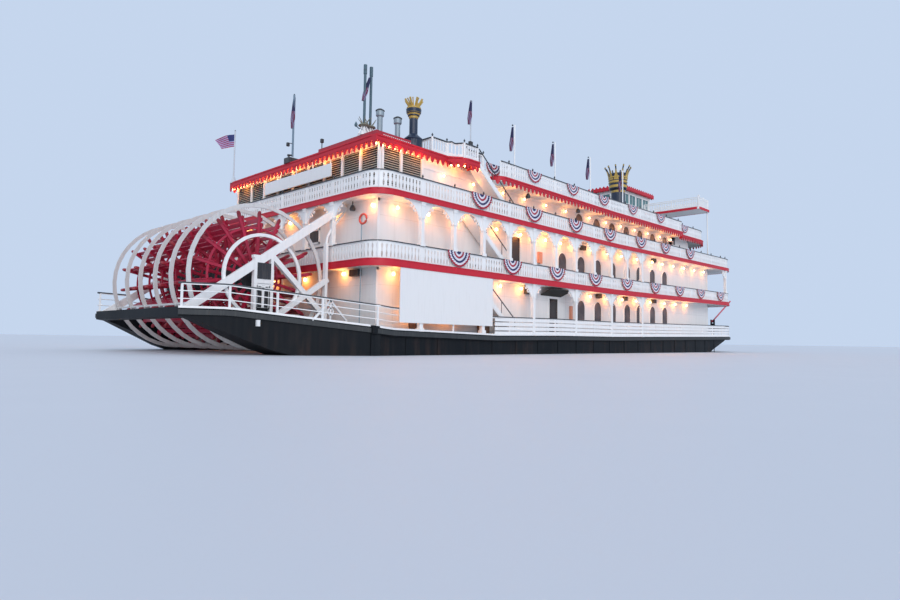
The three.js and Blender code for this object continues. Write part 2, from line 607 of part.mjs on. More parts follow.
// Paddle wheel: shaft, spoked frames with rings, and bucket boards
function paddleWheel() {
  const { spokes, r, half } = WHEEL;
  const pieces = [];
  const frames = 4;
  const spokeAngle = (i) => (2 * Math.PI * i) / spokes;
  const ringAt = (radius, wide, y) => acrossPrism(
    circle(0, 0, radius + wide / 2, spokes), [y - 0.05, y + 0.05], [circle(0, 0, radius - wide / 2, spokes)]);
  for (let k = 0; k < frames; k++) {
    const y = -half + 0.1 + ((2 * half - 0.2) * k) / (frames - 1);
    for (let i = 0; i < spokes; i++) {
      const [c, s] = [Math.cos(spokeAngle(i)), Math.sin(spokeAngle(i))];
      pieces.push(bar([0.25 * c, y, 0.25 * s], [(r - 0.1) * c, y, (r - 0.1) * s], 0.1, 0.14));
    }
    pieces.push(ringAt(2.65, 0.14, y));
    if (k === 0 || k === frames - 1) pieces.push(ringAt(1.75, 0.14, y));
    pieces.push(rod([0, y - 0.12, 0], [0, y + 0.12, 0], 0.42, 14));
  }
  for (let i = 0; i < spokes; i++) {
    const board = box([r - 0.75, r], [-half, half], [-0.04, 0.04]);
    pieces.push(board.rotateY(-spokeAngle(i)));
  }
  pieces.push(rod([0, -TRUSS.out + 0.06, 0], [0, TRUSS.out - 0.06, 0], WHEEL.shaftR, 24));
  const turn = THREE.MathUtils.degToRad(-WHEEL.turn);
  return geometryOf(join(pieces)).rotateY(turn).translate(WHEEL.x, 0, WHEEL.z);
}

// Side trusses: bearing tower, diagonal beams, ring and davit
const TRUSS = { in: 5.25, out: 5.5 };
const BEAMS = [
  // foot x, foot z, head x, head z, depth
  [-8.9, 1.95, 0.2, 8.38, 0.4],
  [-4.3, 5.05, -0.95, 2.0, 0.26],
  [-4.05, 1.9, -0.85, 4.1, 0.26],
];

function truss(side) {
  const mid = (TRUSS.in + TRUSS.out) / 2;
  const wide = TRUSS.out - TRUSS.in;
  const across = ([a, b]) => [side * a, side * b].sort((p, q) => p - q);
  const plane = across([TRUSS.in, TRUSS.out]);
  const beams = BEAMS.map(([x0, z0, x1, z1, deep]) =>
    bar([x0, side * mid, z0], [x1, side * mid, z1], wide, deep));
  const posts = [-5.22, -4.3, -0.98].map((x) => {
    const top = x < -2 ? 4.98 : 6.1;
    return box([x - 0.08, x + 0.08], plane, [1.5, top]);
  });
  const bearing = cut(
    box([-5.3, -4.2], plane, [WHEEL.z - 0.36, WHEEL.z + 0.36]),
    [acrossPrism(circle(WHEEL.x, WHEEL.z, (WHEEL.shaftR + GAP / 2) / Math.cos(Math.PI / 24), 24), [-9, 9])]);
  const caps = box([-5.35, -4.15], plane, [4.86, 5.0]);
  const ring = acrossPrism(circle(WHEEL.x, WHEEL.z, 2.2, 36), across([TRUSS.in, TRUSS.in + 0.12]),
    [circle(WHEEL.x, WHEEL.z, 2.04, 36)]);
  const davit = [[-0.98, 6.0], [-0.9, 6.5], [-0.6, 7.0], [0.35, TEXAS_Z - DECK.thick - 0.25]];
  const pipe = davit.slice(1).map(([x, z], i) => rod(
    [davit[i][0], side * mid, davit[i][1]], [x, side * mid, z], 0.07));
  const deckAbove = box([-2, 2], [-12, 12], [TEXAS_Z - DECK.thick - GAP, 12]);
  const cabin = box([CABIN.aft - GAP, 3], [-12, 12], [4, 12]);
  const head = cut(join([...beams, ...posts, bearing, caps, ring, ...pipe]), [deckAbove, cabin]);
  return onHull(head);
}

add('paddle_wheel', paddleWheel(), WHEEL_RED, { sheer: false });
for (const [name, side] of SIDES) add(`truss_${name}`, truss(side), WHITE, { sheer: false });

// Hoops round the wheel, tied by bars that sit on the stern arms
function wheelCage() {
  const hoops = Array.from({ length: HOOP.count }, (_, i) => {
    const y = -HOOP.half + (2 * HOOP.half * i) / (HOOP.count - 1);
    return acrossPrism(circle(WHEEL.x, WHEEL.z, HOOP.outer, 40), [y - HOOP.thick / 2, y + HOOP.thick / 2],
      [circle(WHEEL.x, WHEEL.z, HOOP.inner, 40)]);
  });
  const mid = (HOOP.outer + HOOP.inner) / 2;
  const ties = [204, 336].flatMap((degrees) => {
    const angle = THREE.MathUtils.degToRad(degrees);
    const [x, z] = [WHEEL.x + mid * Math.cos(angle), WHEEL.z + mid * Math.sin(angle)];
    const feet = SIDES.map(([, side]) => box([x - 0.06, x + 0.06],
      [side * 5.17 - 0.05, side * 5.17 + 0.05], [deckLine(x) - 0.2, z + 0.05]));
    return [box([x - 0.05, x + 0.05], [-5.2, 5.2], [z - 0.05, z + 0.05]), ...feet];
  });
  return onHull(join([...hoops, ...ties]));
}
add('wheel_cage', wheelCage(), WHITE, { sheer: false });

// Rudders under the transom, each hung by a collar on its shelf
for (const [name, side] of SIDES) {
  const [, shelfTop] = RUDDER.shelf;
  const y = side * RUDDER.y;
  const blade = box([RUDDER.x - 1.2, RUDDER.x + 0.75], [y - 0.05, y + 0.05], [-1.75, RUDDER.shelf[0] - 0.06]);
  const stock = rod([RUDDER.x, y, -1.7], [RUDDER.x, y, shelfTop + 0.15], RUDDER.stockR, 16);
  const collar = rod([RUDDER.x, y, shelfTop + GAP], [RUDDER.x, y, shelfTop + 0.12], 0.17, 16);
  add(`rudder_${name}`, join([blade, stock, collar]), STEEL, { sheer: false });
}

// Engine: one plain block in the after main cabin
add('engine', onHull(box([3, 8.5], [-1.6, 1.6], [1, 3.2])), STEEL);

// Pilothouse with its wings and roof
const PILOT = { aft: 39.1, fore: 45.8, half: 1.85, top: 17.1, floor: 14.6, sill: 15.7, head: 16.75 };
function pilothouse() {
  const { aft, fore, half, top, sill, head } = PILOT;
  const foot = HURRICANE.z + GAP;
  const shell = slab(rectangle(aft, fore, -half, half), [foot, top],
    [rectangle(aft + WALL, fore - WALL, WALL - half, half - WALL)]);
  const floor = slab(rectangle(aft + 0.05, fore - 0.05, 0.05 - half, half - 0.05),
    [PILOT.floor - 0.12, PILOT.floor]);
  const sideWindows = [0, 1, 2, 3].map((i) => {
    const x = aft + 0.35 + i * 1.55;
    return box([x, x + 1.3], [-half - 1, half + 1], [sill, head]);
  });
  const endWindows = [-1, 0, 1].map((i) =>
    box([aft - 1, fore + 1], [i * 1.1 - 0.47, i * 1.1 + 0.47], [sill, head]));
  return cut(join([shell, floor]), [...sideWindows, ...endWindows]);
}
add('pilothouse', pilothouse(), WHITE);

function pilotRoof() {
  const over = 0.3;
  const { aft, fore, half, top } = PILOT;
  const eave = slab(rectangle(aft - over, fore + over, -half - over, half + over), [top + GAP, top + 0.35]);
  const crown = slab(rectangle(aft + 0.6, fore - 0.6, 0.6 - half, half - 0.6), [top + 0.3, top + 0.6]);
  return join([eave, crown]);
}
add('pilothouse_roof', pilotRoof(), ROOF_RED);

const WING = { aft: 43.5, fore: 46.3, half: 8.4, z: 14.95, postX: 46.1 };
function wing(side) {
  const across = (a, b) => [side * a, side * b].sort((p, q) => p - q);
  const plate = box([WING.aft, WING.fore], across(PILOT.half + GAP, WING.half), [WING.z - 0.22, WING.z]);
  const post = rod([WING.postX, side * (WING.half - 0.15), TEXAS_Z + GAP],
    [WING.postX, side * (WING.half - 0.15), WING.z + 1.1], 0.07);
  const path = [
    [WING.aft + 0.1, side * (PILOT.half + 0.4)], [WING.aft + 0.1, side * 5.4],
    [WING.aft + 0.1, side * (WING.half - 0.1)], [WING.fore - 0.1, side * (WING.half - 0.1)],
    [WING.fore - 0.1, side * 5.4], [WING.fore - 0.1, side * (PILOT.half + 0.4)],
  ];
  const posts = path.map((corner) => postAt(corner, WING.z - 0.05, WING.z + 1.05));
  return join([plate, post, ...barsAlong(path, () => WING.z, [1.05]), ...posts]);
}
for (const [name, side] of SIDES) add(`bridge_wing_${name}`, wing(side), WHITE);

// Funnels with crowned tops
function funnel({ at, base, rows, tips, tipR, tipTop }) {
  const [x, y] = at;
  const body = turned([[0, base], ...rows, [0, rows[rows.length - 1][1]]], at, 20);
  const rim = rows[rows.length - 1];
  const spikes = Array.from({ length: tips }, (_, i) => {
    const angle = (2 * Math.PI * (i + 0.5)) / tips;
    const [c, s] = [Math.cos(angle), Math.sin(angle)];
    return rod([x + (rim[0] - 0.1) * c, y + (rim[0] - 0.1) * s, rim[1] - 0.1],
      [x + tipR * c, y + tipR * s, tipTop], 0.06, 6);
  });
  return join([body, ...spikes]);
}
const foreFunnel = {
  base: HURRICANE.z + GAP, tips: 10, tipR: 1.18, tipTop: 17,
  rows: [[0.75, HURRICANE.z + GAP], [0.62, 11.8], [0.62, 14.8], [0.8, 14.9], [0.84, 15.9], [0.9, 16.3]],
};
const aftFunnel = {
  base: ROOF.z + GAP, tips: 8, tipR: 0.55, tipTop: 15.1,
  rows: [
    [0.52, ROOF.z + GAP], [0.55, 12.7], [0.25, 12.95], [0.25, 13.98],
    [0.43, 14.28], [0.43, 14.54], [0.26, 14.62],
  ],
};
for (const [name, side] of SIDES) {
  add(`funnel_${name}`, funnel({ at: [30.7, side * 6], ...foreFunnel }), GOLD);
}
add('funnel_aft', funnel({ at: [3.65, -7.3], ...aftFunnel }), GOLD);

// Blank banner panels: one laced to the aft roof's valance, one on each side at the boiler deck's edge
const STERN_BANNER = {
  x: [ROOF.aft + 0.015, ROOF.aft + 0.065], y: [-4.1, 3.4], z: [10.35, 11.13], ties: 5,
};
function sternBanner() {
  const { x, y, z, ties } = STERN_BANNER;
  const laces = Array.from({ length: ties }, (_, i) => {
    const at = y[0] + 0.1 + ((y[1] - y[0] - 0.2) * i) / (ties - 1);
    return box(x, [at - 0.025, at + 0.025], [z[1] - 0.02, ROOF.z - ROOF.skirt - GAP]);
  });
  return join([box(x, y, z), ...laces]);
}
add('stern_banner', sternBanner(), WHITE);
for (const [name, side] of SIDES) {
  const faces = [side * (HALF_BEAM + GAP), side * (HALF_BEAM + 0.04)].sort((a, b) => a - b);
  add(`side_banner_${name}`, box([0.95, 8.6], faces, [1.75, 4.85]), WHITE);
}

// Bow boom, hinged in the fork of its post
function boom() {
  const angle = THREE.MathUtils.degToRad(BOOM.rise);
  const tip = [BOOM.x + BOOM.length * Math.cos(angle), BOOM.y, BOOM.z + BOOM.length * Math.sin(angle)];
  const reach = BOOM.fork - GAP;
  const heel = rod([BOOM.x, BOOM.y - reach, BOOM.z], [BOOM.x, BOOM.y + reach, BOOM.z], 0.14, 16);
  return join([rod([BOOM.x, BOOM.y, BOOM.z], tip, 0.08, 10), heel]);
}
add('bow_boom', boom(), RED);

// The flag that flies from the port stern pole
const [FLAG_POLE_X, FLAG_POLE_Y, FLAG_POLE_R] = ROOF_POLES[0];
const flagEnd = FLAG_POLE_X - FLAG_POLE_R - GAP;
const FLAG_EDGE = [
  [flagEnd, 14.6], [flagEnd, 15.5], [-0.56, 15.24], [-0.97, 14.95], [-1.25, 14.74],
  [-0.82, 14.24], [-0.19, 14.55],
];
add('flag_stern', acrossPrism(FLAG_EDGE, [FLAG_POLE_Y - 0.02, FLAG_POLE_Y + 0.02]), BLUE_CLOTH);

export default model;
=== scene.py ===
"""The looks of a stern-wheel paddle steamer, built round its packed 1:2 model frame.

Every size is the real boat's, in metres: X runs forward from the after cabin, Y to port and Z up
from the waterline. model() brings points into the model's frame.
"""
import math

import bmesh
import bpy
import numpy as np
from mathutils import Matrix, Vector


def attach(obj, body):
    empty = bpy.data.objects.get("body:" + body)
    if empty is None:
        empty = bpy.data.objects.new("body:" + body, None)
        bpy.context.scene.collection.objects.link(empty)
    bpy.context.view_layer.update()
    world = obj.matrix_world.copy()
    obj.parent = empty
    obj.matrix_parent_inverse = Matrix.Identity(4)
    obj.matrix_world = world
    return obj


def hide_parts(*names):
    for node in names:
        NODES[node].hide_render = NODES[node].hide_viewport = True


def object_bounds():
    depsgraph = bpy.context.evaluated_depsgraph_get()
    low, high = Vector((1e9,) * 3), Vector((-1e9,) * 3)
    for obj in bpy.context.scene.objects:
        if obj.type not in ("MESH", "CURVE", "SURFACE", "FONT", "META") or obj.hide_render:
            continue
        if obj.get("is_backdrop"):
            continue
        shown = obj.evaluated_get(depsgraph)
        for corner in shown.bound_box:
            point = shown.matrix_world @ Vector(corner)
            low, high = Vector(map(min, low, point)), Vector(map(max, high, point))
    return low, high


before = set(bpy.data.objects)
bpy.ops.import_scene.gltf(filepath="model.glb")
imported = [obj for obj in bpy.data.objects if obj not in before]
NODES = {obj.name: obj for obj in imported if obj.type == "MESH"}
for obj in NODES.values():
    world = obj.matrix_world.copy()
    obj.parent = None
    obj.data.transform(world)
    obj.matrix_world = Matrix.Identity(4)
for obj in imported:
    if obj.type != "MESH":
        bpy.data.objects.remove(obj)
cad_low, cad_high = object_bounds()

# The model's frame
# The model is half the real boat's size. Its stern platform ends at the frame's lowest X, and it
# stands on its flat bottom, so the waterline lies at the draught.
REAL_PER_MODEL = 2.0
PLATFORM_AFT_X = -9.05
DRAUGHT = 1.9
SHEER_FROM_X, SHEER_SLOPE = 24.0, 0.014
SHIFT = np.array([cad_low.x * REAL_PER_MODEL - PLATFORM_AFT_X, 0.0, DRAUGHT])
SIDES = (("starboard", -1), ("port", 1))


def model(points, sheer=True):
    """Real-boat metres to the model's frame; ahead of SHEER_FROM_X the decks climb by SHEER_SLOPE."""
    moved = np.array(points, float)
    if sheer:
        moved[..., 2] += SHEER_SLOPE * np.clip(moved[..., 0] - SHEER_FROM_X, 0, None)
    return (moved + SHIFT) / REAL_PER_MODEL


# Camera
# The photograph was taken from a small boat off the starboard quarter, a metre over the water,
# with a wide lens turned slightly up.
CAMERA_PLACE = (-20.79, -33.82, 0.86)
FOCAL_PX, FRAME_WIDTH_PX, SENSOR_MM = 618.0, 900.0, 36.0
HEADING, PITCH, ROLL = math.radians(43.65), math.radians(3.71), math.radians(0.83)


def in_scene(name, data):
    """A new object, already in the scene."""
    made = bpy.data.objects.new(name, data)
    bpy.context.scene.collection.objects.link(made)
    return made


lens = bpy.data.cameras.new("camera")
lens.sensor_width = SENSOR_MM
lens.lens = SENSOR_MM * FOCAL_PX / FRAME_WIDTH_PX
lens.clip_end = 2000
camera = in_scene("camera", lens)
ahead = Vector((math.cos(PITCH) * math.cos(HEADING), math.cos(PITCH) * math.sin(HEADING), math.sin(PITCH)))
level_right = ahead.cross(Vector((0, 0, 1))).normalized()
level_up = level_right.cross(ahead)
camera_right = math.cos(ROLL) * level_right + math.sin(ROLL) * level_up
camera_up = math.cos(ROLL) * level_up - math.sin(ROLL) * level_right
camera.matrix_world = (Matrix.Translation(Vector(model(CAMERA_PLACE, sheer=False)))
                       @ Matrix((camera_right, camera_up, -ahead)).transposed().to_4x4())
bpy.context.scene.camera = camera
bpy.context.scene.view_settings.view_transform = "Standard"

# Studio
# A pale floor at the waterline, an even sky and one broad soft light from over the camera's left.
FLOOR_SIZE = 900.0
SKY_COLOUR, SKY_STRENGTH = (0.66, 0.79, 1.0, 1), 0.85
KEY_DIRECTION, KEY_STRENGTH, KEY_ANGLE = (0.5, 0.72, -0.48), 1.5, math.radians(50)
KEY_COLOUR = (1.0, 0.95, 0.93)


def new_mesh(name, points, quads, triangles=()):
    """A mesh from an array of points, an array of four-sided faces and one of triangles."""
    quads = np.asarray(quads, np.int32).reshape(-1, 4)
    triangles = np.asarray(triangles, np.int32).reshape(-1, 3)
    mesh = bpy.data.meshes.new(name)
    mesh.vertices.add(len(points))
    mesh.vertices.foreach_set("co", np.asarray(points, np.float32).ravel())
    corners = np.concatenate([quads.ravel(), triangles.ravel()])
    mesh.loops.add(len(corners))
    mesh.loops.foreach_set("vertex_index", corners)
    starts = np.concatenate([4 * np.arange(len(quads)), 4 * len(quads) + 3 * np.arange(len(triangles))])
    mesh.polygons.add(len(starts))
    mesh.polygons.foreach_set("loop_start", starts.astype(np.int32))
    mesh.update(calc_edges=True)
    mesh.validate()
    return mesh


def shade(tree, kind, given, **settings):
    """Adds a shader node: given pairs an input's name or number with a socket to link or a value."""
    made = tree.nodes.new("ShaderNode" + kind)
    for setting, value in settings.items():
        setattr(made, setting, value)
    for key, value in given.items():
        if isinstance(value, bpy.types.NodeSocket):
            tree.links.new(value, made.inputs[key])
        else:
            made.inputs[key].default_value = value
    return made


def maths(tree, operation, first, second):
    """The result of one calculation on two sockets or numbers."""
    return shade(tree, "Math", {0: first, 1: second}, operation=operation).outputs[0]


def spread(tree, value, low, high):
    """A value between low and high, as a share from 0 to 1."""
    return shade(tree, "MapRange", {"Value": value, "From Min": low, "From Max": high}).outputs[0]


def object_place(tree, scale=None):
    """Object coordinates, squeezed or stretched along each axis where a scale is given."""
    place = tree.nodes.new("ShaderNodeTexCoord").outputs["Object"]
    return shade(tree, "Mapping", {"Vector": place, "Scale": scale}).outputs[0] if scale else place


def noise(tree, place, scale, detail=2):
    """Soft noise from 0 to 1 over a place; detail is the number of finer layers."""
    return shade(tree, "TexNoise", {"Vector": place, "Scale": scale, "Detail": detail}).outputs["Fac"]


def mixed(tree, share, first, second):
    """A colour between two, by a share that is a socket or a number; the two are sockets or colours."""
    return shade(tree, "Mix", {"Factor": share, "A": first, "B": second}, data_type="RGBA").outputs["Result"]


def weather_group():
    """Dirt that runs down in streaks, broad patches of fading, and fine unevenness of the coat.

    Streaks are noise squeezed sideways and stretched in height; patches are slow noise; the coat is
    fast noise for a Bump node's height. All read Object coordinates times Scale.
    """
    group = bpy.data.node_groups.new("weather", "ShaderNodeTree")
    for in_out, names in (("INPUT", ("Scale", "Streak Share")), ("OUTPUT", ("Streaks", "Patches", "Coat"))):
        for name in names:
            group.interface.new_socket(name, in_out=in_out, socket_type="NodeSocketFloat")
    given, out = group.nodes.new("NodeGroupInput"), group.nodes.new("NodeGroupOutput")
    sized = shade(group, "VectorMath", {0: object_place(group), "Scale": given.outputs["Scale"]},
                  operation="SCALE").outputs[0]
    drawn_out = shade(group, "Mapping", {"Vector": sized, "Scale": (7, 7, 0.55)}).outputs[0]
    start = maths(group, "SUBTRACT", 0.85, given.outputs["Streak Share"])
    for name, value in (("Streaks", spread(group, noise(group, drawn_out, 1.3, 6), start, 0.85)),
                        ("Patches", noise(group, sized, 0.9, 3)), ("Coat", noise(group, sized, 24))):
        group.links.new(value, out.inputs[name])
    return group


WEATHER = weather_group()
SLOT_OF = {}


def painted(name, colour, dirt=(0.3, 0.27, 0.24), dirty=0.25, faded=0.15, roughness=0.45, bump=0.08,
            scale=1.0, share=0.35, metallic=0.0, specular=0.5, coloured=None, slot=None):
    """Brushed or sprayed paint: its colour fades in patches, dirt runs down it, and the coat is uneven.

    coloured(tree, colour_socket) may add a pattern over the faded paint before the dirt. slot is kept in
    SLOT_OF under the material's name; piece() looks it up and does nothing more with it.
    """
    material = bpy.data.materials.new(name)
    material.use_nodes = True
    SLOT_OF[material.name] = slot
    tree = material.node_tree
    weather = shade(tree, "Group", {"Scale": scale, "Streak Share": share}, node_tree=WEATHER).outputs
    pale = tuple(min(1.0, 0.75 * c + 0.2) for c in colour)
    surface = mixed(tree, maths(tree, "MULTIPLY", weather["Patches"], faded), (*colour, 1), (*pale, 1))
    if coloured:
        surface = coloured(tree, surface)
    dirtied = mixed(tree, maths(tree, "MULTIPLY", weather["Streaks"], dirty), surface, (*dirt, 1))
    rough = shade(tree, "MapRange", {"Value": weather["Patches"], "To Min": roughness - 0.08,
                                     "To Max": roughness + 0.12}).outputs[0]
    raised = shade(tree, "Bump", {"Strength": bump, "Distance": 0.01, "Height": weather["Coat"]}).outputs[0]
    given = tree.nodes["Principled BSDF"].inputs
    for socket, value in (("Base Color", dirtied), ("Roughness", rough), ("Normal", raised)):
        tree.links.new(value, given[socket])
    given["Metallic"].default_value = metallic
    given["Specular IOR Level"].default_value = specular
    return material


half_floor = FLOOR_SIZE / 2
floor_corners = np.array([[-1, -1, 0], [1, -1, 0], [1, 1, 0], [-1, 1, 0]]) * half_floor
waterline_z = model((0, 0, 0), sheer=False)[2]
floor = in_scene("floor", new_mesh("floor", floor_corners + [0, 0, waterline_z], [[0, 1, 2, 3]]))
FLOOR_PAINT = painted("floor_paint", (0.62, 0.64, 0.68), dirty=0.0, faded=0.0, roughness=0.55, bump=0.0)
floor.data.materials.append(FLOOR_PAINT)
floor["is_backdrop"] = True

sky = bpy.data.worlds.new("sky")
sky.use_nodes = True
sky.node_tree.nodes["Background"].inputs["Color"].default_value = SKY_COLOUR
sky.node_tree.nodes["Background"].inputs["Strength"].default_value = SKY_STRENGTH
bpy.context.scene.world = sky
key = in_scene("key", bpy.data.lights.new("key", "SUN"))
key.data.energy = KEY_STRENGTH
key.data.angle = KEY_ANGLE
key.data.color = KEY_COLOUR
key.rotation_euler = Vector(KEY_DIRECTION).to_track_quat("-Z", "Y").to_euler()

# Hull
# A steel hull with raked ends, and two arms that reach aft round the paddle wheel. The guard at
# the deck's edge carries a rubber fender between timbers, under a white margin line.
DECK_LINE_X = (-9.05, -7, 0.5, 9, 16, 24, 60)
DECK_LINE_Z = (2.22, 2.22, 1.42, 1.25, 1.35, 1.38, 1.38)
HALF_BEAM, HULL_HALF = 9.4, 9.28
ARM_X, ARM_HALF = (-9.05, -0.3), (5.62, 9.4)
BOW_START, BOW_LENGTH = 47.8, 8.2
FENDER_Z, FENDER_PROUD = (-0.13, -0.37), 0.07
HULL_COLOUR, RUBBER_COLOUR = (0.004, 0.0065, 0.0095), (0.022, 0.026, 0.028)
WHITE_COLOUR = (0.86, 0.86, 0.85)


def deck_line(x):
    """Height of the main deck's edge above the water."""
    return np.interp(x, DECK_LINE_X, DECK_LINE_Z)


def arm_half(x):
    """Half the deck's width: straight sides, drawn in along the stern arms."""
    return np.interp(x, ARM_X, ARM_HALF)


def faces_out(mesh):
    """Turns the faces of closed shells outwards."""
    work = bmesh.new()
    work.from_mesh(mesh)
    bmesh.ops.recalc_face_normals(work, faces=work.faces)
    work.to_mesh(mesh)
    work.free()


def joined(shapes):
    """Several shapes as one. A shape is an array of points, one of quads and one of triangles."""
    points, quads, triangles, start = [], [], [], 0
    for p, q, t in shapes:
        points.append(p)
        quads.append(np.asarray(q, int).reshape(-1, 4) + start)
        triangles.append(np.asarray(t, int).reshape(-1, 3) + start)
        start += len(p)
    return np.concatenate(points), np.concatenate(quads), np.concatenate(triangles)


def piece(name, shapes, material, body="root", slot=None, sheer=True, smooth_under=40):
    """Makes one piece of the object from shapes in real-boat metres, and lets it ride on a body."""
    points, quads, triangles = joined(shapes) if isinstance(shapes, list) else shapes
    mesh = new_mesh(name, model(points, sheer), quads, triangles)
    faces_out(mesh)
    mesh.polygons.foreach_set("use_smooth", np.ones(len(mesh.polygons), bool))
    mesh.set_sharp_from_angle(angle=math.radians(smooth_under))
    mesh.materials.append(material)
    made = in_scene(name, mesh)
    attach(made, body)
    slot = slot or SLOT_OF.get(material.name)
    return made


def coat(names, material):
    """Gives CAD nodes their finish."""
    for name in names:
        NODES[name].data.materials.clear()
        NODES[name].data.materials.append(material)


def grid(points, around=False, across=False):
    """The surface over a grid of points: around joins the last row to the first, across the last column."""
    rows, columns = points.shape[:2]
    i, j = np.meshgrid(np.arange(rows if around else rows - 1),
                       np.arange(columns if across else columns - 1), indexing="ij")
    i, j = i.ravel(), j.ravel()
    i2, j2 = (i + 1) % rows, (j + 1) % columns
    quads = np.stack([i * columns + j, i2 * columns + j, i2 * columns + j2, i * columns + j2], axis=1)
    return points.reshape(-1, 3), quads, np.zeros((0, 3), int)


def closed_tube(points):
    """A tube whose rows are closed rings, shut at both ends by a fan to the ring's middle."""
    shape, quads, _ = grid(points, across=True)
    rows, columns = points.shape[:2]
    middles = points[[0, -1]].mean(axis=1)
    k, end = np.arange(columns), (rows - 1) * columns
    first = np.stack([(k + 1) % columns, k, np.full(columns, rows * columns)], axis=1)
    last = np.stack([end + k, end + (k + 1) % columns, np.full(columns, rows * columns + 1)], axis=1)
    return np.concatenate([shape, middles]), quads, np.concatenate([first, last])


def strip(top, bottom, thick, closed=False):
    """A board between a top line and a bottom line, thickened by a vector or one vector a point."""
    top, bottom = np.array(top, float), np.array(bottom, float)
    thick = np.broadcast_to(np.asarray(thick, float), top.shape)
    section = np.stack([top, bottom, bottom + thick, top + thick], axis=1)
    return grid(section, around=True, across=True) if closed else closed_tube(section)


def block(low, high):
    """A plain box between two corners, for battens and boards."""
    (x0, y0, z0), (x1, y1, z1) = np.minimum(low, high), np.maximum(low, high)
    top = [[x0, y0, z1], [x1, y0, z1]]
    return strip(top, [[x0, y0, z0], [x1, y0, z0]], (0, y1 - y0, 0))


def walked(line, spacing, closed=False, even=1):
    """Points evenly spaced along a line in plan, and the unit vector to its right at each.

    The step is trimmed so that a whole number of steps, a multiple of even, fills the line.
    """
    line = np.asarray(line, float)
    path = np.concatenate([line, line[:1]]) if closed else line
    run = np.concatenate([[0], np.cumsum(np.linalg.norm(np.diff(path, axis=0), axis=1))])
    count = max(1, round(run[-1] / spacing / even)) * even
    at = np.linspace(0, run[-1], count + 1)[:count if closed else None]
    near = [np.mod(at + d, run[-1]) if closed else np.clip(at + d, 0, run[-1]) for d in (-0.02, 0.02)]
    before, points, after = (np.column_stack([np.interp(s, run, path[:, k]) for k in (0, 1)])
                             for s in (near[0], at, near[1]))
    ahead_of = after - before
    ahead_of /= np.linalg.norm(ahead_of, axis=1)[:, None]
    return points, np.column_stack([ahead_of[:, 1], -ahead_of[:, 0]])


def on_edge(points, z):
    """Plan points with a height, which may be one number or one a point."""
    return np.column_stack([points, np.broadcast_to(z, len(points))])


def board(points, out, top, bottom, proud, thick, closed=False):
    """A board on edge along points in plan, its inner face proud of them along the outward vectors."""
    at = points + out * proud
    return strip(on_edge(at, top), on_edge(at, bottom), on_edge(out * thick, 0), closed)


def guard_line(inset=0.0, bow_steps=24):
    """The deck's edge in plan, from the starboard arm's end round the bow to the port arm's end."""
    angle = np.linspace(0, np.pi / 2, bow_steps)
    side_x = np.array([ARM_X[0], -7, -4, ARM_X[1], 0.5, 9, 16, 24, 36])
    half = np.concatenate([np.column_stack([side_x, arm_half(side_x) - inset]),
                           np.column_stack([BOW_START + (BOW_LENGTH - inset) * np.sin(angle),
                                            (HALF_BEAM - inset) * np.cos(angle)])])
    return np.concatenate([half * [1, -1], half[::-1][1:]])


def hull_wear(tree, surface):
    """Rust and scraped paint towards the water, from noise stretched downwards and cut by height."""
    height = shade(tree, "SeparateXYZ", {0: object_place(tree)}).outputs["Z"]
    flaking = spread(tree, noise(tree, object_place(tree, (2.2, 2.2, 0.35)), 2.5, 8), 0.52, 0.72)
    both = maths(tree, "MULTIPLY", spread(tree, height, 1.75, 0.9), flaking)
    return mixed(tree, maths(tree, "MULTIPLY", both, 0.55), surface, (0.055, 0.03, 0.022, 1))


HULL_PAINT = painted("hull_paint", HULL_COLOUR, dirt=(0.03, 0.026, 0.024), dirty=0.3, faded=0.0,
                     roughness=0.6, bump=0.15, scale=0.9, share=0.42, specular=0.2, coloured=hull_wear,
                     slot="hull_paint")
RUBBER = painted("fender_rubber", RUBBER_COLOUR, dirt=(0.1, 0.1, 0.09), dirty=0.4, faded=0.1,
                 roughness=0.62, bump=0.25, scale=2.5, slot="hull_paint")
WHITE_PAINT = painted("white_paint", WHITE_COLOUR, dirt=(0.5, 0.47, 0.42), dirty=0.22, faded=0.1,
                      roughness=0.42, bump=0.06, scale=1.4, share=0.4, slot="white_paint")
STRAPS_X = np.arange(1.6, 46, 2.4)
coat(["hull"], HULL_PAINT)
edge, outward = walked(guard_line(), 0.5)
edge_z = deck_line(edge[:, 0])
piece("guard_fender", [board(edge, outward, edge_z + FENDER_Z[0], edge_z + FENDER_Z[1], 0, FENDER_PROUD)],
      RUBBER)
piece("deck_margin_line", [board(edge, outward, edge_z + 0.03, edge_z - 0.07, 0, 0.02),
                           board(edge, outward, edge_z + 0.03, edge_z + 0.004, -0.14, 0.15)], WHITE_PAINT)
for side_name, side in SIDES:
    straps = [block((x - 0.05, side * (HULL_HALF - 0.01), -0.6),
                    (x + 0.05, side * (HULL_HALF + 0.03), deck_line(x) - 0.43)) for x in STRAPS_X]
    piece(f"hull_straps_{side_name}", straps, HULL_PAINT)
    out_y = arm_half(-5.86)
    light = block((-5.94, side * (out_y - 0.08), 1.38), (-5.78, side * (out_y + 0.1), 1.68))
    piece(f"arm_light_{side_name}", [light], WHITE_PAINT)

# Decks
# Three decks of planking on beams, each edged with a red fascia board, and a grey non-slip coat on
# top. The after roof and the hurricane deck end in a scalloped valance of red sawn board.
MAIN_DECK = {"aft": -0.7, "fore": 51.4, "half": 9.4, "corner": 3.0, "aft_corner": 1.2}
HURRICANE = {"aft": 9.25, "fore": 46.4, "half": 9.3, "corner": 3.2, "aft_corner": 0.5,
             "step": (37.2, 38.0), "fore_half": 8.6}
BOILER_Z, TEXAS_Z, HURRICANE_Z, AFT_ROOF_Z = 4.98, 8.74, 11.33, 11.93
DECK_THICK = 0.26
RED_COLOUR, ROOF_RED_COLOUR = (0.56, 0.004, 0.022), (0.40, 0.006, 0.022)
DECK_GREY = (0.16, 0.17, 0.17)


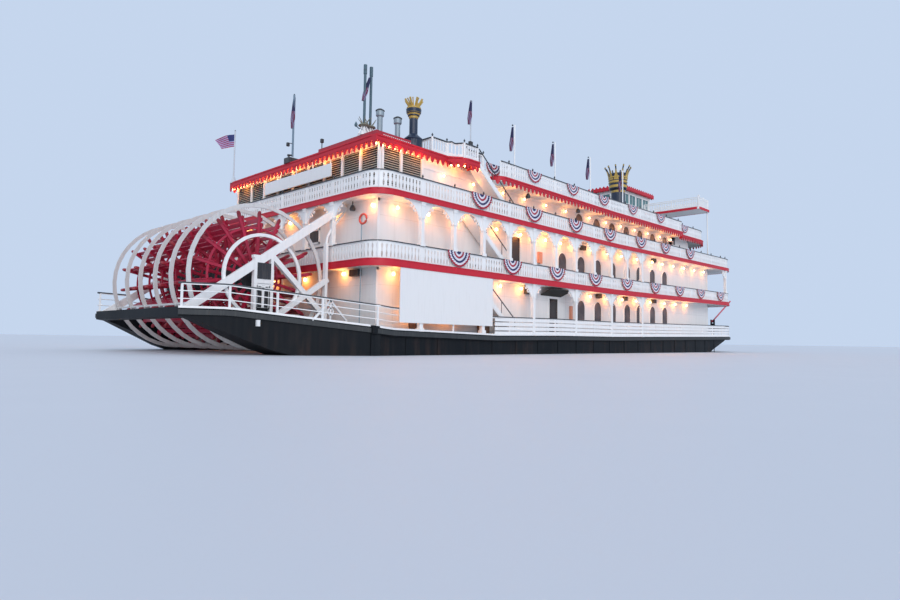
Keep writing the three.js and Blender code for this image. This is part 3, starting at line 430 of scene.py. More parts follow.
def outline(deck, inset=0.0, steps=10):
    """A deck's rounded plan, walked so that its right-hand side is outward: four quarter circles.

    A deck with a step is drawn in to its fore half breadth between the step's two stations.
    """
    fore_half = deck.get("fore_half", deck["half"])
    corners = ((deck["fore"], -1, 1, deck["corner"], fore_half),
               (deck["aft"], 1, 1, deck["aft_corner"], deck["half"]),
               (deck["aft"], 1, -1, deck["aft_corner"], deck["half"]),
               (deck["fore"], -1, -1, deck["corner"], fore_half))
    points = []
    for quarter, (end, inward, side, radius, half) in enumerate(corners):
        centre = np.array([end + inward * radius, side * (half - radius)])
        angle = np.pi / 2 * (quarter + np.linspace(0, 1, steps))
        points.append(centre + (radius - inset) * np.column_stack([np.cos(angle), np.sin(angle)]))
    if "step" in deck:
        drawn_in = np.array([(deck["step"][1], fore_half - inset), (deck["step"][0], deck["half"] - inset)])
        points.insert(1, drawn_in)
        points.insert(4, drawn_in[::-1] * [1, -1])
    return np.concatenate(points)


def rim(deck, top, bottom, proud, thick, spacing=0.5):
    """A board on edge round a deck: proud is its inner face's distance outside the deck's edge."""
    points, out = walked(outline(deck, -proud), spacing, closed=True)
    return board(points, out, top, bottom, 0, thick, closed=True)


def deck_faces(tree, surface):
    """Grey non-slip paint on faces that look up; below, tongue-and-groove lines across the ceiling."""
    normal = tree.nodes.new("ShaderNodeNewGeometry").outputs["Normal"]
    looks_up = maths(tree, "GREATER_THAN", shade(tree, "SeparateXYZ", {0: normal}).outputs["Z"], 0.6)
    boards = shade(tree, "TexWave", {"Vector": object_place(tree), "Scale": 2.2, "Distortion": 0},
                   bands_direction="Y").outputs["Fac"]
    groove = maths(tree, "MULTIPLY", maths(tree, "LESS_THAN", boards, 0.06), 0.3)
    return mixed(tree, looks_up, mixed(tree, groove, surface, (0.3, 0.28, 0.25, 1)), (*DECK_GREY, 1))


CEILING_WHITE = painted("deck_planks", WHITE_COLOUR, dirt=(0.5, 0.46, 0.4), dirty=0.2, faded=0.12,
                        roughness=0.5, bump=0.08, scale=1.2, share=0.4, coloured=deck_faces)
RED_PAINT = painted("red_paint", RED_COLOUR, dirt=(0.14, 0.01, 0.015), dirty=0.2, faded=0.03, roughness=0.5,
                    bump=0.06, scale=1.6, slot="roof_red")
ROOF_RED = painted("roof_red", ROOF_RED_COLOUR, dirt=(0.12, 0.02, 0.02), dirty=0.3, faded=0.15,
                   roughness=0.5, bump=0.08, scale=1.6)
coat(["boiler_deck", "texas_deck", "hurricane_deck"], CEILING_WHITE)
for deck_name, top, bottom in (("boiler", BOILER_Z + 0.1, BOILER_Z - 0.3),
                               ("texas", TEXAS_Z + 0.05, TEXAS_Z - 0.28)):
    beads = [rim(MAIN_DECK, z + 0.05, z, 0.03, 0.04) for z in (top - 0.05, bottom)]
    piece(f"{deck_name}_fascia", [rim(MAIN_DECK, top, bottom, 0.004, 0.045), *beads], RED_PAINT)

# Valances
# Sawn boards nailed under the roof edges: a comb of rounded teeth that lets the lamps behind shine
# through. The after roof's runs out round the stair landings.
TOOTH_PITCH = 0.44
ROOF_AFT_X, ROOF_HALF = 0.1, 8.2
LANDING_Z, LANDING_HALF, LANDING_FORE_X, FLARE_X = 11.8, 9.12, 7.555, (5.7, 6.25)


def comb(line, top, solid, drop, proud, closed=False, thick=0.05, pitch=TOOTH_PITCH):
    """A hanging board cut into teeth: each is a wide arch of a tooth, then a narrow notch.

    Within a tooth the edge hangs by drop times a flat arch, 1 minus the share of the half pitch to
    the fourth power, and a small point at the tip. top is a height or a function of X.
    """
    per_tooth = 12
    points, out = walked(line, pitch / per_tooth, closed, even=per_tooth)
    points = points + out * proud
    edge_z = top(points[:, 0]) if callable(top) else np.full(len(points), top)
    phase = np.abs(2 * (np.arange(len(points)) % per_tooth) / per_tooth - 1)
    tooth = 0.85 * np.clip(1 - (phase / 0.6) ** 4, 0, 1) + 0.15 * np.clip(1 - 3 * phase, 0, 1)
    return board(points, out, edge_z, edge_z - solid - drop * tooth, 0, thick, closed)


def roof_edge_z(x):
    """The after roof's edge drops a little to the landings."""
    return np.interp(x, FLARE_X, (AFT_ROOF_Z, LANDING_Z))


half_roof = np.array([(ROOF_AFT_X, -ROOF_HALF), (FLARE_X[0], -ROOF_HALF), (FLARE_X[1], -LANDING_HALF),
                      (LANDING_FORE_X, -LANDING_HALF)])
ROOF_LINE = np.concatenate([half_roof[::-1] * [1, -1], half_roof])
HURRICANE_LINE = outline(HURRICANE)
for deck_name, line, edge_height, solid, drop, bead, closed in (
        ("aft_roof", ROOF_LINE, roof_edge_z, 0.35, 0.3, 0.24, False),
        ("hurricane", HURRICANE_LINE, lambda x: np.full(len(x), HURRICANE_Z), 0.24, 0.28, 0.15, True)):
    boards = [comb(line, lambda x: edge_height(x) + 0.02, solid, drop, 0.012, closed)]
    for above, below, thick in ((0.04, -0.05, 0.05), (-bead, -bead - 0.05, 0.03)):
        points, out = walked(line, 0.5, closed)
        height = edge_height((points + out * 0.05)[:, 0])
        boards.append(board(points, out, height + above, height + below, 0.05, thick, closed))
    piece(f"{deck_name}_valance", boards, RED_PAINT, smooth_under=25)

# Railings of the passenger decks
# Flat sawn balusters stand close together between a bottom board and a handrail with a dark cap.
# Slots and round holes are sawn between them; posts above the boiler deck end in a small black finial.
RAIL_INSET = 0.12
BALUSTER_PITCH, BALUSTER_THICK = 0.25, 0.035
CAP_HEIGHT, CAP_WIDE = 0.06, 0.14
CAP_COLOUR = (0.035, 0.045, 0.055)
FIRST_BAY_X, BAY = 2.6, 2.607
BOW_COLUMN_X = 48.25
END_POSTS_Y = (-5.4, -2.7, 0, 2.7, 5.4)


def stamped(shape, places, turn=0.0, size=1.0):
    """Copies of a shape at many places, each turned about Z by its angle and scaled by its size."""
    points, quads, triangles = shape
    places = np.atleast_2d(np.asarray(places, float))
    turn = np.broadcast_to(np.asarray(turn, float), len(places))[:, None]
    size = np.broadcast_to(np.asarray(size, float), len(places))[:, None]
    x, y, z = points.T
    turned = np.stack([x * np.cos(turn) - y * np.sin(turn), x * np.sin(turn) + y * np.cos(turn),
                       np.broadcast_to(z, (len(places), len(z)))], axis=2)
    copies = (turned * size[..., None] + places[:, None, :]).reshape(-1, 3)
    starts = (np.arange(len(places)) * len(points))[:, None, None]
    return copies, (quads[None] + starts).reshape(-1, 4), (triangles[None] + starts).reshape(-1, 3)


def facing(out):
    """The turn that faces a shape drawn towards -Y along an outward vector in plan."""
    return np.arctan2(out[:, 1], out[:, 0]) + np.pi / 2


def sawn_baluster(height, half_pitch, foot=0.0):
    """A board whose half width is the pitch less a slot: the slot narrows at a waist and at its ends."""
    h = np.array([0, 0.10, 0.12, 0.20, 0.30, 0.36, 0.42, 0.46, 0.52, 0.58, 0.64, 0.70, 0.80, 0.87, 0.89, 1.0])
    slot = np.array([0, 0, 0.7, 1, 1.15, 1.1, 0.8, 0.45, 0.4, 0.45, 0.8, 1.1, 1.1, 0.8, 0, 0]) * 0.045
    half = half_pitch - slot
    z = foot + h * (height - foot)
    section = np.array([[-1, -0.5], [1, -0.5], [1, 0.5], [-1, 0.5]])
    points = np.stack([half[:, None] * section[:, 0],
                       np.broadcast_to(section[:, 1] * BALUSTER_THICK, (len(h), 4)),
                       np.repeat(z[:, None], 4, axis=1)], axis=2)
    return closed_tube(points)


def turned_round(profile, sides=12):
    """A profile of (radius, height) pairs spun about a vertical axis and shut at both ends."""
    angle = np.linspace(0, 2 * np.pi, sides, endpoint=False)
    radius, height = np.array(profile, float).T
    return closed_tube(np.stack([radius[:, None] * np.cos(angle), radius[:, None] * np.sin(angle),
                                 np.repeat(height[:, None], sides, axis=1)], axis=2))


def bay_stops(first, last):
    """Where the posts stand along a side, from one numbered bay to another."""
    return FIRST_BAY_X + BAY * np.arange(first, last + 1)


DARK_PAINT = painted("dark_rail_paint", CAP_COLOUR, dirt=(0.12, 0.12, 0.11), dirty=0.35, faded=0.12,
                     roughness=0.5, bump=0.1, scale=3, slot="steel_plate")
FINIAL = turned_round([(0.05, 0), (0.05, 0.03), (0.025, 0.05), (0.055, 0.1), (0.06, 0.14), (0.02, 0.2),
                       (0.004, 0.24)], sides=8)
PILASTER = strip([(-0.1, -0.04, 0.96), (0.1, -0.04, 0.96)], [(-0.1, -0.04, 0.0), (0.1, -0.04, 0.0)],
                 (0, 0.03, 0))
WAY_HALF, WELL_FORE_X, WELL_INNER = 6.9, 10.97, 8.2

rail_plan = outline(HURRICANE, RAIL_INSET)
STARBOARD_STEP, PORT_STEP = 32, 12
rail_bow = np.concatenate([rail_plan[STARBOARD_STEP:], rail_plan[:PORT_STEP]])
rail_half = HURRICANE["half"] - RAIL_INSET
rail_aft_x = HURRICANE["aft"] + RAIL_INSET
HURRICANE_LINES = [
    (np.concatenate([[(9.58, -rail_half)], rail_bow, [(9.58, rail_half)]]), False),
    (np.array([(rail_aft_x, WAY_HALF), (rail_aft_x, -WAY_HALF)]), False),
]
for _, side in SIDES:
    HURRICANE_LINES.append((np.array([(rail_aft_x, side * WELL_INNER), (WELL_FORE_X, side * WELL_INNER),
                                      (WELL_FORE_X, side * (rail_half - 0.05))]), False))
MAIN_LINES = [(outline(MAIN_DECK, RAIL_INSET), True)]
side_bays = np.append(bay_stops(0, 17), BOW_COLUMN_X)
DECK_RAILS = (
    # name, deck, its lines, its height, handrail top above it, foot of the balusters, side posts
    ("boiler", MAIN_DECK, MAIN_LINES, BOILER_Z, 1.05, 0.08, side_bays),
    ("texas", MAIN_DECK, MAIN_LINES, TEXAS_Z, 1.05, 0.1, side_bays),
    ("hurricane", HURRICANE, HURRICANE_LINES, HURRICANE_Z, 1.05, 0.06, bay_stops(3, 15)),
)
coat(["texas_rail", *(f"{deck}_rail_{run}" for deck in ("boiler", "hurricane")
                      for run in ("starboard", "port", "aft", "fore"))], WHITE_PAINT)
for rail_name, deck, lines, z, height, foot, stops in DECK_RAILS:
    boards, caps = [], []
    for line, closed in lines:
        at, out = walked(line, BALUSTER_PITCH, closed)
        baluster = sawn_baluster(height - 0.06, np.linalg.norm(at[1] - at[0]) / 2, foot)
        boards.append(stamped(baluster, on_edge(at, z), facing(out)))
        at, out = walked(line, 0.4, closed)
        top = z + height + 0.02
        caps.append(board(at, out, top, top - CAP_HEIGHT, -CAP_WIDE / 2, CAP_WIDE, closed))
    piece(f"{rail_name}_balusters", boards, WHITE_PAINT)
    post_half = np.where(stops > HURRICANE["step"][1], deck.get("fore_half", deck["half"]),
                         deck["half"]) - RAIL_INSET
    post_at = np.concatenate([np.column_stack([stops, side * post_half]) for _, side in SIDES])
    post_turn = np.repeat([0, np.pi], len(stops))
    for x, end_turn in ((deck["aft"] + RAIL_INSET, -np.pi / 2), (deck["fore"] - RAIL_INSET, np.pi / 2)):
        post_at = np.concatenate([post_at, [(x, y) for y in END_POSTS_Y]])
        post_turn = np.concatenate([post_turn, np.full(len(END_POSTS_Y), end_turn)])
    piece(f"{rail_name}_pilasters", [stamped(PILASTER, on_edge(post_at, z + foot), post_turn)], WHITE_PAINT)
    if rail_name != "boiler":
        caps.append(stamped(FINIAL, on_edge(post_at, z + height + 0.01)))
    piece(f"{rail_name}_rail_cap", caps, DARK_PAINT)

# Columns and their brackets
# Square boxed columns carry the decks above the boiler rail and on every second main-deck post, as
# far as the fore windows. Sawn brackets spread from their heads and meet in round arches.
COLUMN_HALF, COLUMN_Y, STERN_COLUMN_X, MAIN_COLUMN_FOOT = 0.12, 9.26, -0.58, 1.3
UPPER_SPAN = (BOILER_Z + 1.02, TEXAS_Z - DECK_THICK)
BRACKET_REACH, BRACKET_DROP = 1.18, 1.0


def ring(radius, bar, sides=10):
    """A flat sawn ring in the X-Z plane, square in section."""
    angle = np.linspace(0, 2 * np.pi, sides, endpoint=False)
    circle = np.column_stack([np.cos(angle), np.full(sides, -0.03), np.sin(angle)])
    outer, inner = circle * [radius, 1, radius], circle * [radius - bar, 1, radius - bar]
    return strip(outer, inner, (0, 0.06, 0), closed=True)


def bracket():
    """A sawn bracket: its lower edge falls away from the deck as a steep curve towards the column.

    The edge is the drop times (1 - u) to the power 2.6, with three small lobes along it.
    """
    u = np.linspace(0, 1, 13)
    lobes = 0.045 * np.abs(np.sin(3 * np.pi * u)) * (1 - u)
    low = -0.06 - BRACKET_DROP * (1 - u) ** 2.6 - lobes
    x = COLUMN_HALF + u * BRACKET_REACH
    y = np.full(len(u), -0.035)
    body = strip(np.column_stack([x, y, 0 * u]), np.column_stack([x, y, low]), (0, 0.07, 0))
    return joined([body, stamped(ring(0.13, 0.05), (COLUMN_HALF + 0.42, 0, -0.5)),
                   stamped(ring(0.09, 0.04), (COLUMN_HALF + 0.68, 0, -0.32))])


def column(low, high):
    """A boxed column between two heights, with a plinth and a stepped head."""
    def box_at(half, z0, z1):
        return block((-half, -half, z0), (half, half, z1))
    return joined([box_at(COLUMN_HALF, low, high), box_at(COLUMN_HALF + 0.05, low, low + 0.18),
                   box_at(COLUMN_HALF + 0.04, high - 0.95, high - 0.87),
                   box_at(COLUMN_HALF + 0.05, high - 0.1, high),
                   box_at(COLUMN_HALF + 0.03, high - 0.22, high - 0.1)])


BRACKET = bracket()
columns, brackets = [], []
for _, side in SIDES:
    for stops, low, high in ((np.append(bay_stops(0, 10), BOW_COLUMN_X), *UPPER_SPAN),
                             (bay_stops(0, 10)[::2], MAIN_COLUMN_FOOT, BOILER_Z - DECK_THICK)):
        foot_at = np.array([(x, side * COLUMN_Y, 0) for x in stops])
        columns.append(stamped(column(low, high), foot_at))
        brackets.append(stamped(BRACKET, foot_at + [0, 0, high], np.pi))
        brackets.append(stamped(BRACKET, foot_at[foot_at[:, 0] < BOW_COLUMN_X] + [0, 0, high], 0))
stern_posts = np.array([(STERN_COLUMN_X, y, 0) for y in END_POSTS_Y])
columns.append(stamped(column(*UPPER_SPAN), stern_posts))
for turn in (np.pi / 2, -np.pi / 2):
    brackets.append(stamped(BRACKET, stern_posts + [0, 0, UPPER_SPAN[1]], turn))
piece("columns", columns, WHITE_PAINT)
piece("column_brackets", brackets, WHITE_PAINT)

# Cabin walls
# Sheathed walls, painted white, with a skirting, corner boards and a cornice under each deck.
WALL_Y, TEXAS_WALL_Y = 8.2, 7.9
CABIN_AFT_X, CABIN_FORE_X, TEXAS_AFT_X, TEXAS_FORE_X = 0.3, 46.0, 0.6, 41.7


def wall_seams(tree, surface):
    """Faint joints between the wall's sheets, one about every two metres, drawn as a brick pattern."""
    stood_up = shade(tree, "Mapping",
                     {"Vector": object_place(tree), "Rotation": (math.pi / 2, 0, 0)}).outputs[0]
    sheets = shade(tree, "TexBrick", {"Vector": stood_up, "Scale": 1, "Brick Width": 1.22, "Row Height": 0.95,
                                      "Mortar Size": 0.006}, offset=0).outputs["Fac"]
    return mixed(tree, maths(tree, "MULTIPLY", sheets, 0.35), surface, (0.42, 0.4, 0.37, 1))


WALL_PAINT = painted("wall_paint", (0.82, 0.81, 0.79), dirt=(0.5, 0.46, 0.4), dirty=0.2, faded=0.14,
                     roughness=0.5, bump=0.06, scale=1.1, share=0.38, coloured=wall_seams)
coat([f"{level}_wall_{run}" for level in ("main", "boiler", "texas")
      for run in ("starboard", "port", "aft", "fore")], WALL_PAINT)
WALL_RUNS = (
    # first x, last x, half breadth, floor, ceiling, opening that the skirting leaves free
    (CABIN_AFT_X, CABIN_FORE_X, WALL_Y, 1.42, 4.72, (16.34, 17.66)),
    (CABIN_AFT_X, CABIN_FORE_X, WALL_Y, 4.98, 8.48, (11.79, 13.06)),
    (TEXAS_AFT_X, TEXAS_FORE_X, TEXAS_WALL_Y, 8.74, 11.07, (36.94, 38.16)),
)
trim = []
for _, side in SIDES:
    for x0, x1, y, z0, z1, opening in WALL_RUNS:
        inner, outer = side * (y + 0.002), side * (y + 0.03)
        for first, last, low, high in ((x0, opening[0], z0, z0 + 0.22), (opening[1], x1, z0, z0 + 0.22),
                                       (x0, x1, z1 - 0.14, z1)):
            path = [(x, inner) for x in sorted({first, last, min(max(SHEER_FROM_X, first), last)})]
            trim.append(strip(on_edge(path, high), on_edge(path, low), (0, outer - inner, 0)))
        trim += [block((x - 0.08, inner, z0), (x + 0.08, outer, z1)) for x in (x0 + 0.07, x1 - 0.07)]
piece("wall_trim", trim, WHITE_PAINT)

# Main-deck rail
# Four wide boards on edge with narrow gaps, under a dark pipe; round the paddle wheel the boards
# give way to two thin pipes. Posts are the frame's own.
MAIN_RAIL_INSET, MAIN_RAIL_TOP = 0.1, 1.08
RAIL_BOARDS = ((0.03, 0.19), (0.25, 0.47), (0.53, 0.76), (0.82, 1.0))
ARM_PIPES = (0.36, 0.72)
BOARDS_FROM_X = 8.7


def pipe(path, radius, sides=8):
    """A round bar along a path: rings square to the path, their first spoke level unless it stands."""
    path = np.array(path, float)
    run = np.gradient(path, axis=0)
    run /= np.linalg.norm(run, axis=1)[:, None]
    upright = abs(path[-1] - path[0])[2] > 0.9 * np.linalg.norm(path[-1] - path[0])
    across = np.cross(run, (1.0, 0, 0) if upright else (0, 0, 1.0))
    across /= np.linalg.norm(across, axis=1)[:, None]
    square = np.cross(across, run)
    angle = np.linspace(0, 2 * np.pi, sides, endpoint=False)
    radius = np.broadcast_to(np.asarray(radius, float), len(path))[:, None, None]
    return closed_tube(path[:, None] + radius * (np.cos(angle)[:, None] * across[:, None]
                                                 + np.sin(angle)[:, None] * square[:, None]))


coat(["main_rail_starboard", "main_rail_port"], WHITE_PAINT)
line, out = walked(guard_line(MAIN_RAIL_INSET), 0.4)
forward = line[:, 0] > BOARDS_FROM_X
base = deck_line(line[forward][:, 0])
boards = [board(line[forward], out[forward], base + high, base + low, 0.02, 0.04)
          for low, high in RAIL_BOARDS]
piece("main_rail_boards", boards, WHITE_PAINT)
round_wheel = line[line[:, 0] < 1.0]
arm_runs = np.split(round_wheel, [len(round_wheel) // 2])
pipes = [pipe(on_edge(run, deck_line(run[:, 0]) + h), 0.024) for h in ARM_PIPES for run in arm_runs]
piece("arm_rail_pipes", pipes, WHITE_PAINT)
piece("main_rail_cap", [pipe(on_edge(line, deck_line(line[:, 0]) + MAIN_RAIL_TOP), 0.05)], DARK_PAINT)

# Windows
# Round-headed windows of dark tinted glass in slim white frames, screwed to the wall over a sill.
WINDOW_WIDE, WINDOW_HIGH, FRAME_WIDE = 1.14, 1.9, 0.05
GLASS_COLOUR = (0.042, 0.035, 0.042)
WINDOW_ROWS = (
    # wall's half breadth, sill height, places along the side
    (WALL_Y, 2.2, (20.7, 23.2, 25.6, 28.1, 30.3, 32.9, 35.45)),
    (WALL_Y, 5.6, (18.1, 20.7, 23.2, 25.6, 28.1, 30.3, 32.9, 35.45)),
    (TEXAS_WALL_Y, 9.05, (20.9, 23.55, 26.05, 28.55, 31.1, 33.6, 36.2)),
)
FORE_WINDOW_ROWS = ((CABIN_FORE_X, 2.2), (CABIN_FORE_X, 5.6), (TEXAS_FORE_X, 9.05))


def arch_line(half, high, steps=13):
    """Up one jamb, over a half circle and down the other, in the X-Z plane."""
    angle = np.linspace(0, np.pi, steps)
    round_head = np.column_stack([half * np.cos(angle), 0 * angle, high - half + half * np.sin(angle)])
    return np.concatenate([[(half, 0, 0)], round_head, [(-half, 0, 0)]])


def plate(line, front, back):
    """A flat plate filling a closed line of the X-Z plane, between two distances out from the wall."""
    line = np.asarray(line, float)
    return closed_tube(np.stack([line * [1, 0, 1] - [0, back, 0], line * [1, 0, 1] - [0, front, 0]]))


def glass_sheen(tree, surface):
    """Curtains behind the tinted glass and painted reflections on it: slow noise between two dark tones."""
    cloudy = spread(tree, noise(tree, object_place(tree), 1.7), 0.4, 0.65)
    return mixed(tree, cloudy, surface, (0.13, 0.1, 0.1, 1))


TINTED_GLASS = painted("tinted_glass", GLASS_COLOUR, dirty=0.05, faded=0.03, roughness=0.42, bump=0.0,
                       coloured=glass_sheen)
half, high = WINDOW_WIDE / 2, WINDOW_HIGH
outer, inner = arch_line(half, high), arch_line(half - FRAME_WIDE, high - FRAME_WIDE)
inner[[0, -1], 2] = FRAME_WIDE
WINDOW_FRAME = joined([
    strip(outer - [0, 0.06, 0], inner - [0, 0.06, 0], (0, 0.06, 0), closed=True),
    block((-half - 0.08, -0.11, -0.06), (half + 0.08, 0, 0.0)),
])
WINDOW_GLASS = plate(arch_line(half - 0.02, high - 0.02), 0.022, 0.004)
window_at, window_turn = [], []
for wall, sill, places in WINDOW_ROWS:
    for _, side in SIDES:
        window_at += [(x, side * wall, sill) for x in places]
        window_turn += [0.0 if side < 0 else np.pi] * len(places)
fore_windows = [(x, y, sill) for x, sill in FORE_WINDOW_ROWS for y in (-6, -3.6, 3.6, 6)]
window_at += fore_windows
window_turn += [np.pi / 2] * len(fore_windows)
piece("window_frames", [stamped(WINDOW_FRAME, window_at, window_turn)], WHITE_PAINT)
piece("window_glass", [stamped(WINDOW_GLASS, window_at, window_turn)], TINTED_GLASS)

# Doors and the awning
# Panelled doors of dark brown wood with a glazed upper half, in white casings that leave the swing
# free. A slab awning rises outward over each main-deck door, and a doorway leads into the top deck.
DOOR_COLOUR = (0.016, 0.008, 0.006)
DOORWAYS = (
    # wall, first x, last x, sill, head
    (WALL_Y, 16.5, 17.5, 1.39, 3.95),
    (WALL_Y, 11.95, 12.9, 5.02, 7.9),
    (TEXAS_WALL_Y, 37.1, 38.0, 8.8, 10.6),
)


def wood_grain(tree, surface):
    """Grain up the door: noise stretched along Z, between the stain and a lighter tone."""
    grain = noise(tree, object_place(tree, (26, 26, 1.6)), 1.5, 6)
    return mixed(tree, maths(tree, "MULTIPLY", grain, 0.7), surface, (0.05, 0.024, 0.014, 1))


DOOR_WOOD = painted("door_wood", DOOR_COLOUR, dirty=0.15, faded=0.05, roughness=0.35, bump=0.1,
                    coloured=wood_grain, slot="door_wood")
DOOR_PANE = painted("door_pane", (0.02, 0.012, 0.01), dirty=0.05, roughness=0.4, bump=0.0)
AWNING_UNDER = painted("awning_canvas", (0.014, 0.016, 0.012), dirt=(0.05, 0.045, 0.04), dirty=0.3,
                       roughness=0.7, bump=0.2, scale=3, slot="steel_plate")
coat([f"{level}_door_{side_name}" for level in ("main", "boiler") for side_name, _ in SIDES], DOOR_WOOD)
casings = []
for wall, x0, x1, sill, head in DOORWAYS:
    for _, side in SIDES:
        inner, outer = side * (wall + 0.002), side * (wall + 0.05)
        casings += [block((x0 - 0.15, inner, sill - 0.03), (x0 - 0.055, outer, head + 0.13)),
                    block((x1 + 0.03, inner, sill - 0.03), (x1 + 0.14, outer, head + 0.13)),
                    block((x0 - 0.055, inner, head + 0.03), (x1 + 0.03, outer, head + 0.13))]
piece("door_casings", casings, WHITE_PAINT)
for level, (wall, x0, x1, sill, head) in zip(("main", "boiler"), DOORWAYS):
    for side_name, side in SIDES:
        face, proud = side * (wall + 0.001), side * (wall + 0.02)
        rails = [block((x0 + 0.02, face, z0), (x1 - 0.03, proud, z1))
                 for z0, z1 in ((sill + 0.05, sill + 0.3), (sill + 1.02, sill + 1.2),
                                (head - 0.2, head - 0.02))]
        stiles = [block((x, face, sill + 0.05), (x + 0.13, proud, head - 0.02))
                  for x in (x0 + 0.02, x1 - 0.16)]
        body = f"{level}_door_{side_name}"
        piece(f"{body}_stiles", rails + stiles, DOOR_WOOD, body=body)
        pane = block((x0 + 0.13, side * (wall - 0.002), sill + 1.2),
                     (x1 - 0.14, side * (wall + 0.006), head - 0.2))
        piece(f"{body}_pane", [pane], DOOR_PANE, body=body)
for side_name, side in SIDES:
    edges = [[(x, side * y, z) for x in (15.4, 17.95)] for y, z in ((8.19, 4.22), (9.1, 4.6))]
    piece(f"awning_{side_name}", [strip(*edges, (0, 0, -0.09))], AWNING_UNDER)

# Stairs
# Open wooden flights between the decks, all coming down forward, with dark pipe handrails.
STAIR_FOOT_X, STAIR_SLOPE, STAIR_SIDES = 11.4, 0.8, (8.3, 9.1)
FLIGHTS = (("main", 1.29, 4.98), ("boiler", 4.98, 8.74), ("texas", 8.74, LANDING_Z))
coat([f"{flight}_stair_{side_name}" for flight, _, _ in FLIGHTS for side_name, _ in SIDES], WHITE_PAINT)
for side_name, side in SIDES:
    handrails, inner_rails, stringers = [], [], []
    for _, low, high in FLIGHTS:
        top_x = STAIR_FOOT_X - (high - low) / STAIR_SLOPE
        for y in STAIR_SIDES:
            y_in = side * (y + (0.03 if y == STAIR_SIDES[0] else -0.03))
            pipes = handrails if y == STAIR_SIDES[1] else inner_rails
            pipes.append(pipe([(top_x, y_in, high + 0.9), (STAIR_FOOT_X, y_in, low + 0.9)], 0.035))
            for share in (0.02, 0.35, 0.68, 0.98):
                x, z = top_x + share * (STAIR_FOOT_X - top_x), high - share * (high - low)
                pipes.append(pipe([(x, y_in, z - 0.05), (x, y_in, z + 0.9)], 0.022))
            outward = 0.03 * side * (1 if y == STAIR_SIDES[1] else -1)
            face_y = side * y - 0.5 * outward
            stringers.append(strip([(top_x + 0.1, face_y, high + 0.02), (STAIR_FOOT_X, face_y, low + 0.1)],
                                   [(top_x + 0.1, face_y, high - 0.28),
                                    (STAIR_FOOT_X - 0.3, face_y, low + 0.02)],
                                   (0, outward, 0)))
    piece(f"stair_handrails_{side_name}", handrails, DARK_PAINT)
    piece(f"stair_inner_rails_{side_name}", inner_rails, WHITE_PAINT)
    piece(f"stair_stringers_{side_name}", stringers, WHITE_PAINT)

# Louvred walls
# The after end of the texas deck is closed by dark slats between white posts, right across the
# stern and two bays forward along each side. A near-black plate behind the slats is painted shade.
SLAT_STEP = 0.13
LOUVRE_Z = (9.0, 11.5)
# Painted shade: a near-black plate stands behind the slats where the shade inside would show.
LOUVRE_SHADE_PLATE = painted("louvre_shadow", (0.02, 0.018, 0.015), dirty=0.1, roughness=0.7)
SLAT_PAINT = painted("louvre_slats", (0.42, 0.43, 0.38), dirt=(0.18, 0.18, 0.16), dirty=0.4, roughness=0.55,
                     scale=2)
slat_z = np.arange(LOUVRE_Z[0] + 0.05, LOUVRE_Z[1], SLAT_STEP)


def slats(start, end, out):
    """Long sloping slats from start to end in plan, leaning out at the bottom."""
    start, end, out = (np.array([*v, 0.0]) for v in (start, end, out))
    rows = []
    for z in slat_z:
        top = np.array([start, end]) + out * 0.03 + [0, 0, z + 0.05]
        rows.append(strip(top, top + out * 0.05 - [0, 0, 0.06], out * 0.012))
    return rows


LOUVRE_BAYS_X = (0.72, 2.1, 3.75)
STERN_POSTS_Y = (-8.0, -6.38, -4.69, -2.89, -1.17, 0.58, 2.37, 4.12, 5.83, 7.82)
aft, (low, high), foot = TEXAS_AFT_X, LOUVRE_Z, TEXAS_Z + 0.01
first, last = LOUVRE_BAYS_X[0], LOUVRE_BAYS_X[-1]
shade_plates = [block((aft - 0.03, -7.88, low), (aft - 0.003, 7.88, high))]
rows = slats((aft - 0.02, 7.86), (aft - 0.02, -7.86), (-1, 0))
posts = [block((aft - 0.16, y - 0.08, foot), (aft - 0.02, y + 0.08, high + 0.1)) for y in STERN_POSTS_Y]
posts.append(block((aft - 0.12, -7.9, foot), (aft - 0.01, 7.9, low + 0.03)))
for _, side in SIDES:
    behind, near, board_out, post_out = (side * (TEXAS_WALL_Y + proud) for proud in (0.003, 0.02, 0.03, 0.16))
    shade_plates.append(block((first, behind, low), (last, board_out, high)))
    rows += slats((first, near), (last, near), (0, side))
    posts += [block((x - 0.08, near, foot), (x + 0.08, post_out, high + 0.1)) for x in LOUVRE_BAYS_X]
piece("louvre_shade_plates", shade_plates, LOUVRE_SHADE_PLATE)
piece("louvre_slats", rows, SLAT_PAINT)
piece("louvre_posts", posts, WHITE_PAINT)

# Hoops and trusses
# Pale hoops of flat bar stand round the paddle wheel, which turns between two white trussed
# bearings. The bearing towers carry a sawn Gothic panel, and a gable stands on each stern arm.
HOOP_PAINT = painted("hoop_grey", (0.62, 0.61, 0.6), dirt=(0.3, 0.27, 0.25), dirty=0.4, faded=0.1,
                     roughness=0.42, bump=0.1, scale=2)
TOWER_X = (-5.14, -4.38)
PANEL_FOOT, LANCET_SPRING, PANEL_SPRING, TOWER_TOP = 2.3, 3.12, 3.44, 4.62
WHEEL_X, WHEEL_Z = -4.7, 3.95
# Near-black paint: the hubs' own cast black, and painted shade on the plates in the towers' recesses.
SHADE_AND_HUB_BLACK = painted("painted_shade_and_hub_black", (0.01, 0.013, 0.02), dirty=0.2, roughness=0.6, scale=3)
coat(["wheel_cage"], HOOP_PAINT)
coat(["truss_starboard", "truss_port"], WHITE_PAINT)


def pointed(half_wide, foot, spring, steps=7):
    """A lancet: two arcs, each centred on the far jamb, that meet in a point."""
    angle = np.linspace(0, np.pi / 3, steps)
    right = np.column_stack([-half_wide + 2 * half_wide * np.cos(angle), 0 * angle,
                             spring + 2 * half_wide * np.sin(angle)])
    return np.concatenate([[(half_wide, 0, foot)], right, (right * [-1, 1, 1])[::-1][1:],
                           [(-half_wide, 0, foot)]])


